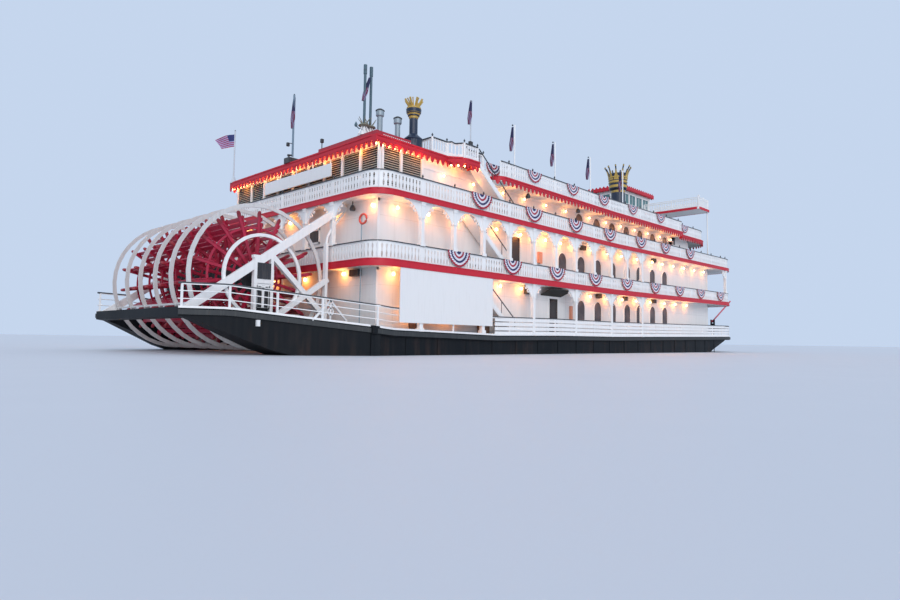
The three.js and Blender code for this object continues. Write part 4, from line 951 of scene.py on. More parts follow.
mid, half = sum(TOWER_X) / 2, (TOWER_X[1] - TOWER_X[0]) / 2
arch_inner = pointed(half - 0.07, PANEL_FOOT + 0.05, PANEL_SPRING)
lancet = strip(pointed(half / 2, PANEL_FOOT, LANCET_SPRING),
               pointed(half / 2 - 0.06, PANEL_FOOT + 0.06, LANCET_SPRING), (0, 0.06, 0), closed=True)
GOTHIC_PANEL = joined([
    strip(pointed(half, PANEL_FOOT, PANEL_SPRING), arch_inner, (0, 0.06, 0), closed=True),
    *(stamped(lancet, (shift, 0, 0)) for shift in (-half / 2, half / 2)),
    stamped(ring(0.2, 0.06, 16), (0, 0.03, 3.7)),
    stamped(ring(0.1, 0.05, 12), (0, 0.03, 3.7)),
    block((-half, 0, 3.37), (half, 0.06, 3.47)),
    plate([(-half + 0.05, 0, PANEL_SPRING), (half - 0.05, 0, PANEL_SPRING), *arch_inner[2:-2]], -0.03, -0.05),
])
for side_name, side in SIDES:
    panel = stamped(GOTHIC_PANEL, (mid, side * 5.47, 0), 0 if side < 0 else np.pi)
    piece(f"gothic_panel_{side_name}", [panel], WHITE_PAINT, sheer=False)
    head_x, base, y = -2.45, deck_line(-2.45) + 0.05, side * (arm_half(-2.4) - 0.45)
    gable = [strip([(x, y, base), (head_x, y, base + 1.05)], [(x, y, base - 0.13), (head_x, y, base + 0.9)],
                   (0, 0.06, 0)) for x in (-3.5, -1.4)]
    gable += [block((head_x - 0.05, y, base - 0.1), (head_x + 0.05, y + 0.05, base + 1.0)),
              stamped(ring(0.2, 0.06, 14), (head_x, y + 0.03, base + 0.42))]
    piece(f"beam_gable_{side_name}", gable, WHITE_PAINT, sheer=False)
    # Near-black plates in each tower's recess: painted shade.
    tower_shade = [block((TOWER_X[0], side * y0, z0), (TOWER_X[1], side * y1, z1))
              for y0, y1, z0, z1 in ((5.502, 5.515, 3.8, TOWER_TOP), (5.3, 5.32, 2.05, 3.8))]
    piece(f"tower_painted_shade_{side_name}", tower_shade, SHADE_AND_HUB_BLACK, slot="steel_plate", sheer=False)

# Funnels
# Black and gold banded steel funnels that end in a crown of gold points, each tipped with a ball.
# The after one is slimmer, on a broad black base.
GOLD_COLOUR, FUNNEL_BLACK = (0.55, 0.36, 0.07), (0.007, 0.02, 0.05)
FORE_FUNNEL_X, FORE_FUNNEL_Y = 30.7, 6.0
AFT_FUNNEL = (3.65, -7.3)


def banded(heights, x=0.0):
    """A colour pattern: the coat and gold take turns, changing at the given heights of the real boat."""
    def pattern(tree, surface):
        z = shade(tree, "SeparateXYZ", {0: object_place(tree)}).outputs["Z"]
        mask = None
        for height in heights:
            above = maths(tree, "GREATER_THAN", z, float(model((x, 0, height))[2]))
            mask = above if mask is None else maths(tree, "ABSOLUTE", maths(tree, "SUBTRACT", mask, above), 0)
        return mixed(tree, mask, surface, (*GOLD_COLOUR, 1))
    return pattern


def funnel_black(name, roughness=0.3, coloured=None):
    """The funnels' black, with bands where a pattern is given."""
    return painted(name, FUNNEL_BLACK, dirt=(0.05, 0.04, 0.03), dirty=0.4, faded=0.05, roughness=roughness,
                   bump=0.05, scale=2, coloured=coloured, slot="gold_paint")


GOLD_PAINT = painted("gold_paint", GOLD_COLOUR, dirt=(0.1, 0.07, 0.03), dirty=0.4, faded=0.1, roughness=0.3,
                     bump=0.08, scale=3, slot="gold_paint")
FORE_BANDS = banded((14.55, 14.72, 14.98, 15.22, 15.4, 15.62), FORE_FUNNEL_X)
AFT_BANDS = banded((13.93, 14.07, 14.12, 14.22, 14.28))
coat(["funnel_starboard", "funnel_port"], funnel_black("fore_funnel_bands", coloured=FORE_BANDS))
coat(["funnel_aft"], funnel_black("aft_funnel_bands", coloured=AFT_BANDS))


def post(profile, place, sides=8):
    """A profile of (radius, height) pairs spun about an upright axis through a place."""
    return stamped(turned_round(profile, sides), place)


def crown(radius, top_radius, low, high, points, ball, at, wide):
    """Leaf-shaped points that bend outwards from a ring, a ball on each: half width falls to the tip."""
    t = np.linspace(0, 1, 8)
    half_wide, reach = wide * radius * (1 - t) ** 1.5 + 0.028, radius + (top_radius - radius) * t ** 1.8
    right = np.column_stack([half_wide, -reach, low + (high - low) * t])
    half_ball = [(0.7 * ball, -0.7 * ball), (ball, 0), (0.7 * ball, 0.7 * ball)]
    ball_shape = post([(0.001, -ball), *half_ball, (0.001, ball)], (0, -top_radius, high + 0.5 * ball))
    angle = 2 * np.pi * (np.arange(points) + 0.5) / points + np.pi / 2
    return stamped(joined([strip(right, right * [-1, 1, 1], (0, 0.05, 0)), ball_shape]),
                   np.tile(at, (points, 1)), angle)


def band(radius, z, half_wide, proud, at):
    """A half-round band about a funnel."""
    shoulder = 0.6 * half_wide
    return post([(radius, z - half_wide), (radius + proud, z - shoulder), (radius + proud, z + shoulder),
                 (radius, z + half_wide)], at, 24)


for side_name, side in SIDES:
    at = (FORE_FUNNEL_X, side * FORE_FUNNEL_Y, 0)
    gold = [crown(0.84, 1.16, 15.7, 16.86, 10, 0.08, at, wide=0.24)]
    gold += [band(r, z, 0.07, 0.04, at) for r, z in ((0.6, 14.7), (0.79, 15.05), (0.82, 15.5), (0.85, 15.95))]
    piece(f"funnel_crown_{side_name}", gold, GOLD_PAINT)
at = (*AFT_FUNNEL, 0)
gold = [crown(0.28, 0.5, 14.55, 15.04, 9, 0.045, at, wide=0.1)]
gold += [band(r, z, 0.05, 0.03, at) for r, z in ((0.25, 14.0), (0.36, 14.25), (0.4, 14.58))]
piece("funnel_crown_aft", gold, GOLD_PAINT)
base_profile = [(0.53, 11.96), (0.57, 12.02), (0.53, 12.1), (0.54, 12.58), (0.59, 12.66), (0.56, 12.72),
                (0.34, 12.9), (0.25, 13.0)]
rim_profile = [(0.25, 14.06), (0.35, 14.1), (0.35, 14.2), (0.3, 14.24), (0.44, 14.3), (0.46, 14.5),
               (0.36, 14.56)]
piece("funnel_base_aft", [post(profile, at, 24) for profile in (base_profile, rim_profile)],
      funnel_black("funnel_black", roughness=0.28))

# After roof
# A flat red roof with a kerb at its after corner, twin masts on splayed white legs, grey vent
# pipes with dark caps, and a white balustrade that runs out round the stair landings.
KERB_Z, COLLAR_Z = 12.19, 12.6
MAST_Y = -6.9
# Each mast and pole: X, Y, radius, top; each vent's foot comes last.
MASTS = ((0.27, MAST_Y, 0.07, 16.2), (0.7, MAST_Y, 0.07, 16.2))
CENTRE_POLE, PORT_POLE = (0.35, 0.5, 0.06, 16.49), (0.18, 8.0, 0.05, 15.77)
VENTS = ((1.4, MAST_Y, 0.15, 13.98, KERB_Z), (2.75, MAST_Y, 0.145, 13.89, AFT_ROOF_Z))
BALUSTRADE_AFT_X, BALUSTRADE_FORE_X, BALUSTRADE_HIGH, POST_PITCH = 4.45, 9.1, 0.98, 1.3
BALUSTRADE_Y, LANDING_RUN_Y = 8.1, 9.04


def pole_paint(name, colour, dirt=(0.1, 0.1, 0.1)):
    """The smooth paint of masts and flagpoles."""
    return painted(name, colour, dirt=dirt, dirty=0.3, roughness=0.4, scale=3, slot="white_paint")


def roof_height(points):
    """The after roof's height at points in plan: the landings outside it lie a little lower."""
    return np.where(np.abs(points[:, 1]) > 8.5, LANDING_Z, AFT_ROOF_Z)


STEEL_GREY = painted("steel_grey", (0.3, 0.37, 0.41), dirt=(0.09, 0.07, 0.06), dirty=0.45, bump=0.1,
                     scale=3, metallic=0.3, slot="steel_plate")
PALE_BLUE = pole_paint("pole_paint", (0.55, 0.6, 0.64), dirt=(0.2, 0.2, 0.2))
MAST_PAINT = pole_paint("mast_paint", (0.045, 0.1, 0.13))
CENTRE_PAINT = pole_paint("centre_pole_paint", (0.13, 0.21, 0.28))
CROWN_BRONZE = painted("crown_bronze", (0.2, 0.19, 0.13), dirt=(0.06, 0.08, 0.07), dirty=0.5, scale=4,
                       slot="gold_paint")
coat(["aft_roof"], ROOF_RED)
for name, poles, finish in (("mast", MASTS, MAST_PAINT), ("centre_pole", [CENTRE_POLE], CENTRE_PAINT),
                            ("pole", [PORT_POLE], PALE_BLUE)):
    sleeves = [pipe([(x, y, AFT_ROOF_Z), (x, y, top + 0.02)], r + 0.006) for x, y, r, top in poles]
    piece(f"{name}_sleeves", sleeves, finish)
foot_profile = [(0.235, AFT_ROOF_Z), (0.1, AFT_ROOF_Z + 0.47), (0.07, AFT_ROOF_Z + 0.5)]
piece("pole_feet", [post(foot_profile, (x, y, 0)) for x, y, *_ in (CENTRE_POLE, PORT_POLE)], PALE_BLUE)
legs, collars = [], []
for x, y, *_ in MASTS:
    foot = np.array([x, y, KERB_Z])
    for angle in np.linspace(0, 2 * np.pi, 6, endpoint=False):
        splay = np.array([np.cos(angle), np.sin(angle), 0])
        legs.append(pipe([foot + 0.36 * splay, foot + 0.1 * splay + [0, 0, 0.55]], 0.035, 6))
        leaf = [foot + reach * splay + [0, 0, up] for reach, up in ((0.1, 0.45), (0.15, 0.7), (0.36, 0.98))]
        collars.append(pipe(leaf, (0.04, 0.032, 0.014), 6))
    legs.append(post([(0.24, 0), (0.12, 0.3), (0.1, 0.5)], foot, 12))
    collars.append(post([(0.28, 0.5), (0.33, 0.54), (0.28, 0.6)], foot, 12))
piece("mast_legs", legs, WHITE_PAINT)
piece("mast_crowns", collars, CROWN_BRONZE)
lamp = [pipe([(0.2, MAST_Y, 12.51), (-0.09, MAST_Y, 12.49), (-0.29, MAST_Y, 12.59)], 0.03),
        post([(0.02, -0.1), (0.08, -0.06), (0.09, 0.04), (0.04, 0.14), (0.01, 0.2)], (-0.29, MAST_Y, 12.63)),
        *(pipe([(x, y, top - 0.5), (x, y, top + 0.03)], r + 0.03) for x, y, r, top in MASTS)]
piece("mast_lamp", lamp, MAST_PAINT, slot="steel_plate")
vent_pipes, vent_caps = [], []
for x, y, r, top, foot_z in VENTS:
    at = (x, y, top)
    vent_pipes += [post([(r + 0.01, foot_z - top), (r + 0.01, -0.36), (r - 0.02, -0.35)], at, 16),
                   post([(r, -0.46), (0.232, -0.38), (0.238, -0.28), (0.232, -0.1), (0.1, -0.06)], at, 16),
                   post([(r + 0.01, 0), (r + 0.04, 0.02), (r + 0.04, 0.08), (r + 0.01, 0.1)],
                        (x, y, COLLAR_Z), 16)]
    vent_caps.append(post([(0.19, -0.12), (0.262, -0.1), (0.262, -0.06), (0.12, 0.03), (0.02, 0.04)], at, 16))
piece("vent_pipes", vent_pipes, STEEL_GREY)
piece("vent_caps", vent_caps, RUBBER, slot="steel_plate")
dentils = [block((x, -8.2, 12.0), (x + 0.06, -8.225, 12.05)) for x in np.arange(0.6, 2.6, 0.14)]
piece("kerb_dentils", dentils, WHITE_PAINT)
landing_end = LANDING_FORE_X - 0.1
side_run = np.array([(BALUSTRADE_AFT_X, -BALUSTRADE_Y), (FLARE_X[0], -BALUSTRADE_Y),
                     (FLARE_X[1], -LANDING_RUN_Y), (landing_end, -LANDING_RUN_Y)])
fore_run = np.array([(landing_end, -BALUSTRADE_Y), (BALUSTRADE_FORE_X, -BALUSTRADE_Y)])
fore_run = np.concatenate([fore_run, fore_run[::-1] * [1, -1]])
picket = block((-0.04, -0.02, 0.2), (0.04, 0.02, BALUSTRADE_HIGH - 0.04))
rails, caps = [], []
for line in (np.concatenate([side_run[::-1] * [1, -1], side_run]), fore_run):
    at, out = walked(line, 0.22)
    z = roof_height(at)
    spans = [np.linspace(a, b, max(2, round(np.linalg.norm(b - a) / POST_PITCH) + 1))[1:]
             for a, b in zip(line, line[1:])]
    post_at = np.concatenate([line[:1], *spans])
    post_foot = on_edge(post_at, roof_height(post_at))
    rails += [stamped(picket, on_edge(at, z), facing(out)), board(at, out, z + 0.26, z + 0.01, -0.035, 0.07),
              board(at, out, z + 0.9, z + 0.82, -0.02, 0.035)]
    rails.append(post([(0.07, 0), (0.07, BALUSTRADE_HIGH)], post_foot))
    caps += [board(at, out, z + BALUSTRADE_HIGH, z + BALUSTRADE_HIGH - CAP_HEIGHT, -CAP_WIDE / 2, CAP_WIDE),
             stamped(FINIAL, post_foot + [0, 0, BALUSTRADE_HIGH])]
piece("roof_balustrade", rails, WHITE_PAINT)
piece("roof_balustrade_cap", caps, DARK_PAINT)

# Pilothouse and bridge wings
# A white cabin with a ring of greenish windows under a red scalloped roof, and a railed wing
# reaching out on each side to a post.
PILOT_AFT, PILOT_FORE, PILOT_HALF, PILOT_SILL, PILOT_HEAD = 39.1, 45.8, 1.85, 15.7, 16.75
PANE_WIDE, PANE_PITCH = 1.3, 1.55
WING_Z = 14.95
GREEN_GLASS = painted("pilothouse_glass", (0.05, 0.16, 0.17), dirty=0.05, faded=0.3, roughness=0.1, bump=0.0)
coat(["pilothouse"], WALL_PAINT)
coat(["pilothouse_roof"], ROOF_RED)
coat(["bridge_wing_starboard", "bridge_wing_port"], WHITE_PAINT)
panes, bars = [], []
for _, side in SIDES:
    face, y = side * PILOT_HALF, side * (PILOT_HALF - 0.06)
    for x in PILOT_AFT + 0.35 + PANE_PITCH * np.arange(4):
        panes.append(block((x, y - 0.01, PILOT_SILL), (x + PANE_WIDE, y + 0.01, PILOT_HEAD)))
        bars.append(block((x + 0.63, y - 0.03, PILOT_SILL), (x + 0.67, y + 0.03, PILOT_HEAD)))
        for past, high, low, proud in ((0.05, PILOT_HEAD + 0.06, PILOT_HEAD, 0.04),
                                       (0.08, PILOT_SILL, PILOT_SILL - 0.07, 0.07)):
            bars.append(block((x - past, face, low), (x + PANE_WIDE + past, face + side * proud, high)))
panes += [block((x - 0.01, y - 0.47, PILOT_SILL), (x + 0.01, y + 0.47, PILOT_HEAD))
          for x in (PILOT_AFT + 0.06, PILOT_FORE - 0.06) for y in (-1.1, 0, 1.1)]
piece("pilothouse_panes", panes, GREEN_GLASS)
piece("pilothouse_bars", bars, WHITE_PAINT)
eave_line = outline({"aft": 38.8, "fore": 46.1, "half": 2.15, "corner": 0.02, "aft_corner": 0.02})
eave = comb(eave_line, 17.46, 0.3, 0.16, 0.01, closed=True, thick=0.04, pitch=0.3)
crest = comb(eave_line, 17.4, -0.05, -0.2, -0.12, closed=True, thick=0.04, pitch=0.45)
piece("pilothouse_eave", [eave, crest], RED_PAINT, smooth_under=25)


def round_wing(side, x0, x1, y0, y1, spacing):
    """Points along a wing's three open sides, and the outward vectors there."""
    at, right = walked([(x0, side * y0), (x0, side * y1), (x1, side * y1), (x1, side * y0)], spacing)
    return at, -side * right


picket = block((-0.035, -0.015, 0.05), (0.035, 0.015, 0.95))
for side_name, side in SIDES:
    at, out = round_wing(side, 43.6, 46.2, 2.25, 8.3, 0.2)
    rails = [stamped(picket, on_edge(at, WING_Z), facing(out))]
    for low, high in ((0.04, 0.14), (0.84, 0.95)):
        rails.append(board(at, out, WING_Z + high, WING_Z + low, 0, 0.03))
    piece(f"wing_pickets_{side_name}", rails, WHITE_PAINT)
    at, out = round_wing(side, 43.48, 46.32, 2.0, 8.42, 0.5)
    piece(f"wing_fascia_{side_name}", [board(at, out, WING_Z + 0.02, WING_Z - 0.24, 0, 0.04)], RED_PAINT)

# Paddle wheel
# Six spoked frames of crimson bar on a steel shaft. The bars run out past the floats to dark rounded
# tips; each float is three boards, and the hubs are black castings.
WHEEL_ARMS, WHEEL_HALF, WHEEL_TURN = 18, 4.62, math.radians(2)
FRAME_Y = (-4.5, -2.7, -0.9, 0.9, 2.7, 4.5)
CRIMSON = (0.46, 0.005, 0.045)
WHEEL_PAINT = painted("wheel_crimson", CRIMSON, dirt=(0.07, 0.02, 0.02), dirty=0.45, faded=0.1,
                      roughness=0.38, bump=0.15, scale=2.2, share=0.5)
TIP_PAINT = painted("wheel_tips", (0.3, 0.006, 0.02), dirt=(0.03, 0.01, 0.01), dirty=0.6, roughness=0.4,
                    bump=0.1, scale=3)


def spun(shape, angles):
    """Copies of a shape turned about the wheel's shaft, which runs along Y."""
    points, quads, triangles = shape
    angles = np.atleast_1d(angles)
    on_end = (points[:, [2, 0, 1]], quads, triangles)
    copies, quads, triangles = stamped(on_end, np.zeros((len(angles), 3)), angles)
    return copies[:, [1, 2, 0]] + [WHEEL_X, 0, WHEEL_Z], quads, triangles


def turned_bar(radius, y, half_long, sides=24):
    """A round plate or bar along Y, spun into place on the shaft."""
    angle = np.linspace(0, 2 * np.pi, sides, endpoint=False)
    circle = np.column_stack([radius * np.cos(angle), 0 * angle, radius * np.sin(angle)])
    return spun(closed_tube(np.stack([circle + [0, y - half_long, 0], circle + [0, y + half_long, 0]])), 0)


arm_turn = WHEEL_TURN + 2 * np.pi * np.arange(WHEEL_ARMS) / WHEEL_ARMS
half_tip = 0.085 * np.array([[1, 0.6], [0.6, 1], [-0.6, 1], [-1, 0.6]])
tip_section = np.concatenate([half_tip, -half_tip])
arms, tips, hubs = [], [], [turned_bar(0.3, 0, 4.85, 16)]
for y in FRAME_Y:
    arms.append(spun(block((-0.075, y - 0.07, 0.2), (0.075, y + 0.07, 3.3)), arm_turn))
    tip = np.stack([on_edge([0, y] + size * tip_section, z)
                    for size, z in ((1.0, 3.2), (1.05, 3.34), (0.9, 3.44), (0.5, 3.5))])
    tips.append(spun(closed_tube(tip), arm_turn))
    hubs += [turned_bar(0.86, y, 0.11), turned_bar(0.42, y, 0.26, 16)]
    arms += [stamped(ring(radius, 0.1, 54), (WHEEL_X, y, WHEEL_Z)) for radius in (2.62, 1.3)]
floats = [spun(block((0.08, -WHEEL_HALF, low), (0.13, WHEEL_HALF, high)), arm_turn)
          for low, high in ((2.36, 2.58), (2.66, 2.88), (2.95, 3.16))]
for y0, y1 in zip(FRAME_Y, FRAME_Y[1:]):
    slant = np.array([(0.0, y0 + 0.05, 2.3), (0.0, y1 - 0.05, 1.35)])
    arms.append(spun(strip(slant, slant - [0, 0, 0.1], (0.07, 0, 0)), arm_turn[::3]))
spokes = piece("wheel_spokes", arms, WHEEL_PAINT, body="wheel", sheer=False)
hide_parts("paddle_wheel")
piece("wheel_tips", tips, TIP_PAINT, body="wheel", sheer=False)
piece("wheel_floats", floats, WHEEL_PAINT, body="wheel", sheer=False)
piece("wheel_hubs", hubs, SHADE_AND_HUB_BLACK, body="wheel", sheer=False)

# Bunting
# Pleated half-round fans of cotton hang from the handrails, in bands of blue, white and red round
# the middle. Each fan is a half disc of flat cloth, drawn into fine pleats.
FAN_R, FAN_DROP, FAN_PLEATS = 0.95, 0.9, 14
FAN_RADII = (0.03, 0.2, 0.33, 0.46, 0.6, 0.74, 0.87, 1.0)
FAN_COLOURS = (2, 1, 0, 1, 2, 1, 0)
FAN_ROWS = (
    # deck, its height, X of each fan, distance from the centre line, size
    ("boiler", BOILER_Z, (5.5, 10.6, 15.7, 20.9, 25.9, 31.1, 36.2, 41.25, 46.5), 9.4, 1.0),
    ("texas", TEXAS_Z, (7.5, 12.9, 18.1, 23.1, 28.4, 33.2, 38.7), 9.4, 1.0),
    ("hurricane", HURRICANE_Z, (13.1, 17.9, 22.4, 27.2, 32.5), 9.28, 0.82),
)
NARROW_FANS, FANS_OVER_DECK = ((39.4, 8.58), (9.95, 8.28)), 1.06


def cloth(name, colour):
    """Printed cotton: matt, a little faded, with the weave as a fine bump."""
    return painted(name, colour, dirt=(0.25, 0.23, 0.22), dirty=0.12, faded=0.12, roughness=0.85, bump=0.25,
                   scale=4)


def cloths(kind, red, white, blue):
    """Red, white and blue cotton for one kind of flag; the darker kinds are painted shade."""
    return [cloth(f"{kind}_red", red), cloth(f"{kind}_white", white), cloth(f"{kind}_blue", blue)]


def fan():
    """A half disc in the X-Z plane below its straight edge; pleats stand out by a share of the radius."""
    step = np.arange(2 * FAN_PLEATS + 1)
    angle = np.pi + np.pi * step / (2 * FAN_PLEATS)
    radius = np.array(FAN_RADII)[:, None]
    sag = 1 + 0.03 * np.cos(4 * angle)
    return grid(np.stack([FAN_R * radius * np.cos(angle), -0.035 * radius * (1 + (-1.0) ** step),
                          FAN_DROP * radius * sag * np.sin(angle)], axis=2))


def tinted(made, pattern, materials):
    """Gives a sheet its colours: pattern holds one material number for every face."""
    made.data.materials.clear()
    for material in materials:
        made.data.materials.append(material)
    made.data.polygons.foreach_set("material_index", np.asarray(pattern, np.int32))


FAN_CLOTHS = cloths("flag", (0.36, 0.008, 0.035), (0.7, 0.7, 0.76), (0.02, 0.024, 0.11))
FAN = fan()
FAN_PATTERN = np.repeat(FAN_COLOURS, 2 * FAN_PLEATS)
for side_name, side in SIDES:
    for row, deck_z, places, y, size in FAN_ROWS:
        at = [(x, side * y, deck_z + FANS_OVER_DECK) for x in places]
        if row == "hurricane":
            at += [(x, side * y, deck_z + FANS_OVER_DECK) for x, y in NARROW_FANS]
        fans = stamped(FAN, at, 0 if side < 0 else np.pi, size)
        made = piece(f"bunting_{row}_{side_name}", fans, FAN_CLOTHS[0])
        tinted(made, np.tile(FAN_PATTERN, len(at)), FAN_CLOTHS)
        hung_from = f"{row}_rail" if row == "texas" else f"{row}_rail_{side_name}"

# Flags
# The stern flag of striped cloth blows aft from its pole; the flags on the masts and the rail poles
# hang furled in soft folds.
FLAG_TOP = np.array([(0.13, 15.52), (-0.2, 15.42), (-0.56, 15.26), (-0.97, 14.98), (-1.28, 14.76)])
FLAG_FOOT = np.array([(0.13, 14.62), (-0.03, 14.56), (-0.19, 14.5), (-0.5, 14.36), (-0.84, 14.2)])
FLAG_COLUMNS, STRIPES, CANTON_COLUMNS, CANTON_STRIPES = 24, 13, 10, 7
across, down = np.linspace(0, 1, FLAG_COLUMNS + 1), np.linspace(0, 1, STRIPES + 1)[:, None]
top_edge, foot_edge = (np.column_stack([np.interp(across, np.linspace(0, 1, 5), edge[:, k]) for k in (0, 1)])
                       for edge in (FLAG_TOP, FLAG_FOOT))
flag_xz = top_edge * (1 - down[..., None]) + foot_edge * down[..., None]
wave = 0.1 * across * np.sin(9 * across + 2.5 * down)
# The stern flag's white is darker and bluer than the bunting's: painted shade on the cloth.
FLYING_SHADED_CLOTHS = cloths("flying", (0.34, 0.03, 0.12), (0.42, 0.4, 0.62), (0.02, 0.035, 0.16))
flag = grid(np.stack([flag_xz[..., 0], PORT_POLE[1] + wave, flag_xz[..., 1]], axis=2))
made = piece("stern_flag", flag, FLYING_SHADED_CLOTHS[0])
stripe = np.repeat(np.arange(STRIPES) % 2, FLAG_COLUMNS).reshape(STRIPES, FLAG_COLUMNS)
stripe[:CANTON_STRIPES, :CANTON_COLUMNS] = 2
tinted(made, stripe.ravel(), FLYING_SHADED_CLOTHS)
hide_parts("flag_stern")
FURLED_ROWS, FURLED_COLUMNS = 12, 44
RAIL_POLES_X, STAIR_POLE_X, POLE_Y = (11.0, 15.7, 20.5, 25.6), 6.85, 9.0


def furled(top, low, radius, lean, turns=1.4):
    """A flag wound round its pole: a spiral in plan with five folds, that swells to its lower third.

    It leans aft by lean at its foot, as the wind takes it.
    """
    angle = np.linspace(0, 2 * np.pi * turns, FURLED_COLUMNS)
    z = np.linspace(top, low, FURLED_ROWS)[:, None]
    swell = np.interp(z, (low, low + 0.3 * (top - low), top), (0.55, 1.0, 0.45))
    reach = swell * radius * (0.35 + 0.5 * angle / angle[-1] + 0.2 * np.sin(5 * angle + 0.4 * z))
    drift = -lean * (top - z) / (top - low)
    return grid(np.stack([reach * np.cos(angle) + drift, reach * np.sin(angle), z + 0 * angle], axis=2))


FURLED = [
    # name, pole's place, foot and head of the cloth, radius, lean, what it hangs from
    ("mast", (0.6, MAST_Y), 14.14, 15.6, 0.17, 0.45, "aft_roof"),
    ("centre", (0.37, 0.5), 14.29, 16.35, 0.18, 0.12, "aft_roof"),
]
for side_name, side in SIDES:
    FURLED.append((f"stair_{side_name}", (STAIR_POLE_X, side * POLE_Y), 14.05, 15.57, 0.17, 0.16, "aft_roof"))
    rail = f"hurricane_rail_{side_name}"
    FURLED += [(f"rail_{side_name}_{number}", (x, side * POLE_Y), 13.35, 15.0, 0.17, 0.16, rail)
               for number, x in enumerate(RAIL_POLES_X)]
stair_poles = [pipe([(STAIR_POLE_X, side * POLE_Y, z) for z in (LANDING_Z, 15.6)], 0.045)
               for _, side in SIDES]
piece("stair_poles", stair_poles, PALE_BLUE)
# The furled cloths are about a third as bright as the bunting's: painted shade of the wound folds.
FURLED_SHADED_CLOTHS = cloths("furled", (0.13, 0.006, 0.04), (0.22, 0.19, 0.31), (0.012, 0.014, 0.075))
face_row, face_column = np.divmod(np.arange((FURLED_ROWS - 1) * (FURLED_COLUMNS - 1)), FURLED_COLUMNS - 1)
for name, (x, y), low, top, radius, lean, hung_from in FURLED:
    points, quads, none = stamped(furled(top, low, radius, lean), (x, y, 0))
    made = piece(f"furled_flag_{name}", (points, quads, none), FURLED_SHADED_CLOTHS[0])
    in_canton = points[quads].mean(axis=1)[:, 2] > top - 0.5 * (top - low)
    tinted(made, np.where(in_canton, 2, (face_column + face_row) // 3 % 2), FURLED_SHADED_CLOTHS)
heads = [post([(0.02, 0), (0.09, 0.05), (0.1, 0.2), (0.05, 0.32), (0.01, 0.4)], (0.27, MAST_Y, 15.75), 10)]
tops = [(x, y, top) for x, y, _, top in (PORT_POLE, CENTRE_POLE)]
tops += [(x, side * POLE_Y, 15.1) for x in RAIL_POLES_X for side in (-1, 1)]
heads.append(post([(0.02, -0.03), (0.05, 0.0), (0.05, 0.05), (0.01, 0.1)], tops))
piece("pole_heads", heads, DARK_PAINT)

# Lamps
# Clear bulbs glow warm on small white brackets under each deck, and strings of little bulbs run
# behind the valances. Soft lights at the brackets throw their glow over walls and ceilings.
LAMP_COLOUR, BULB_STRENGTH, GLOW_WATTS = (1.0, 0.31, 0.045), 14.0, 5.0
BOILER_LAMPS_X = (1.55, 3.94, 6.41, 10.14, 12.72, 14.45, 15.67, 17.58, 19.34, 21.94, 24.44, 26.78, 29.6,
                  32.55, 34.62, 37, 39.5, 42, 44.5)
MAIN_LAMPS_X = (1.35, 10.61, 12.87, 21.79, 24.42, 26.9, 29.42, 32.1, 34.98, 37.4, 40)
TEXAS_LAMPS_X = (5.5, 8.2, 11.2, 13.6, 16.2, 18.8, 22.2, 24.8, 27.3, 29.85, 32.35, 34.9, 37.3)
STERN_LAMPS = [(0.2, y, 4.4) for y in (-1.56, 5.4, 2.0)] + [(0.2, -5.43, 4.5)]
STERN_LAMPS += [(0.2, y, 8.1) for y in (-4.4, 0.3, 4.6, -7.9)]
TEXAS_LAMP_SIZE, LAMP_Y, GLOW_Y = 0.75, 8.42, 8.62


def glowing(name, colour, strength):
    """A lit bulb: it gives off its own light and shows nothing else."""
    material = bpy.data.materials.new(name)
    material.use_nodes = True
    given = material.node_tree.nodes["Principled BSDF"].inputs
    given["Base Color"].default_value = given["Emission Color"].default_value = (*colour, 1)
    given["Emission Strength"].default_value = strength
    return material


def warm_lights(name, places, share=1.0):
    """Small soft warm lights of the boat's own, placed in real-boat metres."""
    for number, place in enumerate(places):
        made = in_scene(f"{name}_{number}", bpy.data.lights.new(f"{name}_{number}", "POINT"))
        made.data.energy = share * GLOW_WATTS
        made.data.color = LAMP_COLOUR
        made.data.shadow_soft_size = 0.12
        made.location = Vector(model(place))


def on_both_sides(row, y, z):
    """Places along both sides of the boat at one height."""
    return [(x, side * y, z) for _, side in SIDES for x in row]


side_at = on_both_sides(BOILER_LAMPS_X, LAMP_Y, 8.1) + on_both_sides(MAIN_LAMPS_X, LAMP_Y, 4.42)
texas_at = on_both_sides(TEXAS_LAMPS_X, 8.08, 10.75)
globe = turned_round([(0.01, -0.1), (0.06, -0.075), (0.085, -0.01), (0.06, 0.06), (0.035, 0.09),
                      (0.01, 0.1)], 8)
cap = turned_round([(0.03, 0.09), (0.05, 0.1), (0.045, 0.16), (0.02, 0.2)], 8)
BULB_GLOW = glowing("bulb_glow", (1.0, 0.62, 0.25), BULB_STRENGTH)
STRING_GLOW = glowing("string_glow", (1.0, 0.58, 0.2), 2 * BULB_STRENGTH)
for name, shape, finish in (("globes", globe, BULB_GLOW), ("caps", cap, WHITE_PAINT)):
    lamps = [stamped(shape, side_at + STERN_LAMPS), stamped(shape, texas_at, size=TEXAS_LAMP_SIZE)]
    piece(f"lamp_{name}", lamps, finish)
brackets = [block((x - 0.025, math.copysign(wall, y), z + 0.12),
                  (x + 0.025, y + math.copysign(0.02, y), z + 0.16))
            for wall, places in ((WALL_Y, side_at), (TEXAS_WALL_Y, texas_at)) for x, y, z in places]
brackets += [block((x, y - 0.025, z + 0.12), (CABIN_AFT_X, y + 0.025, z + 0.16)) for x, y, z in STERN_LAMPS]
piece("lamp_brackets", brackets, WHITE_PAINT)
at, out = walked(ROOF_LINE, TOOTH_PITCH)
string_at = on_edge(at - 0.12 * out, roof_edge_z(at[:, 0]) - 0.45)
small_globe = [(0.005, -0.05), (0.035, -0.02), (0.04, 0.02), (0.02, 0.06), (0.005, 0.07)]
piece("string_bulbs", post(small_globe, string_at, 6), STRING_GLOW)
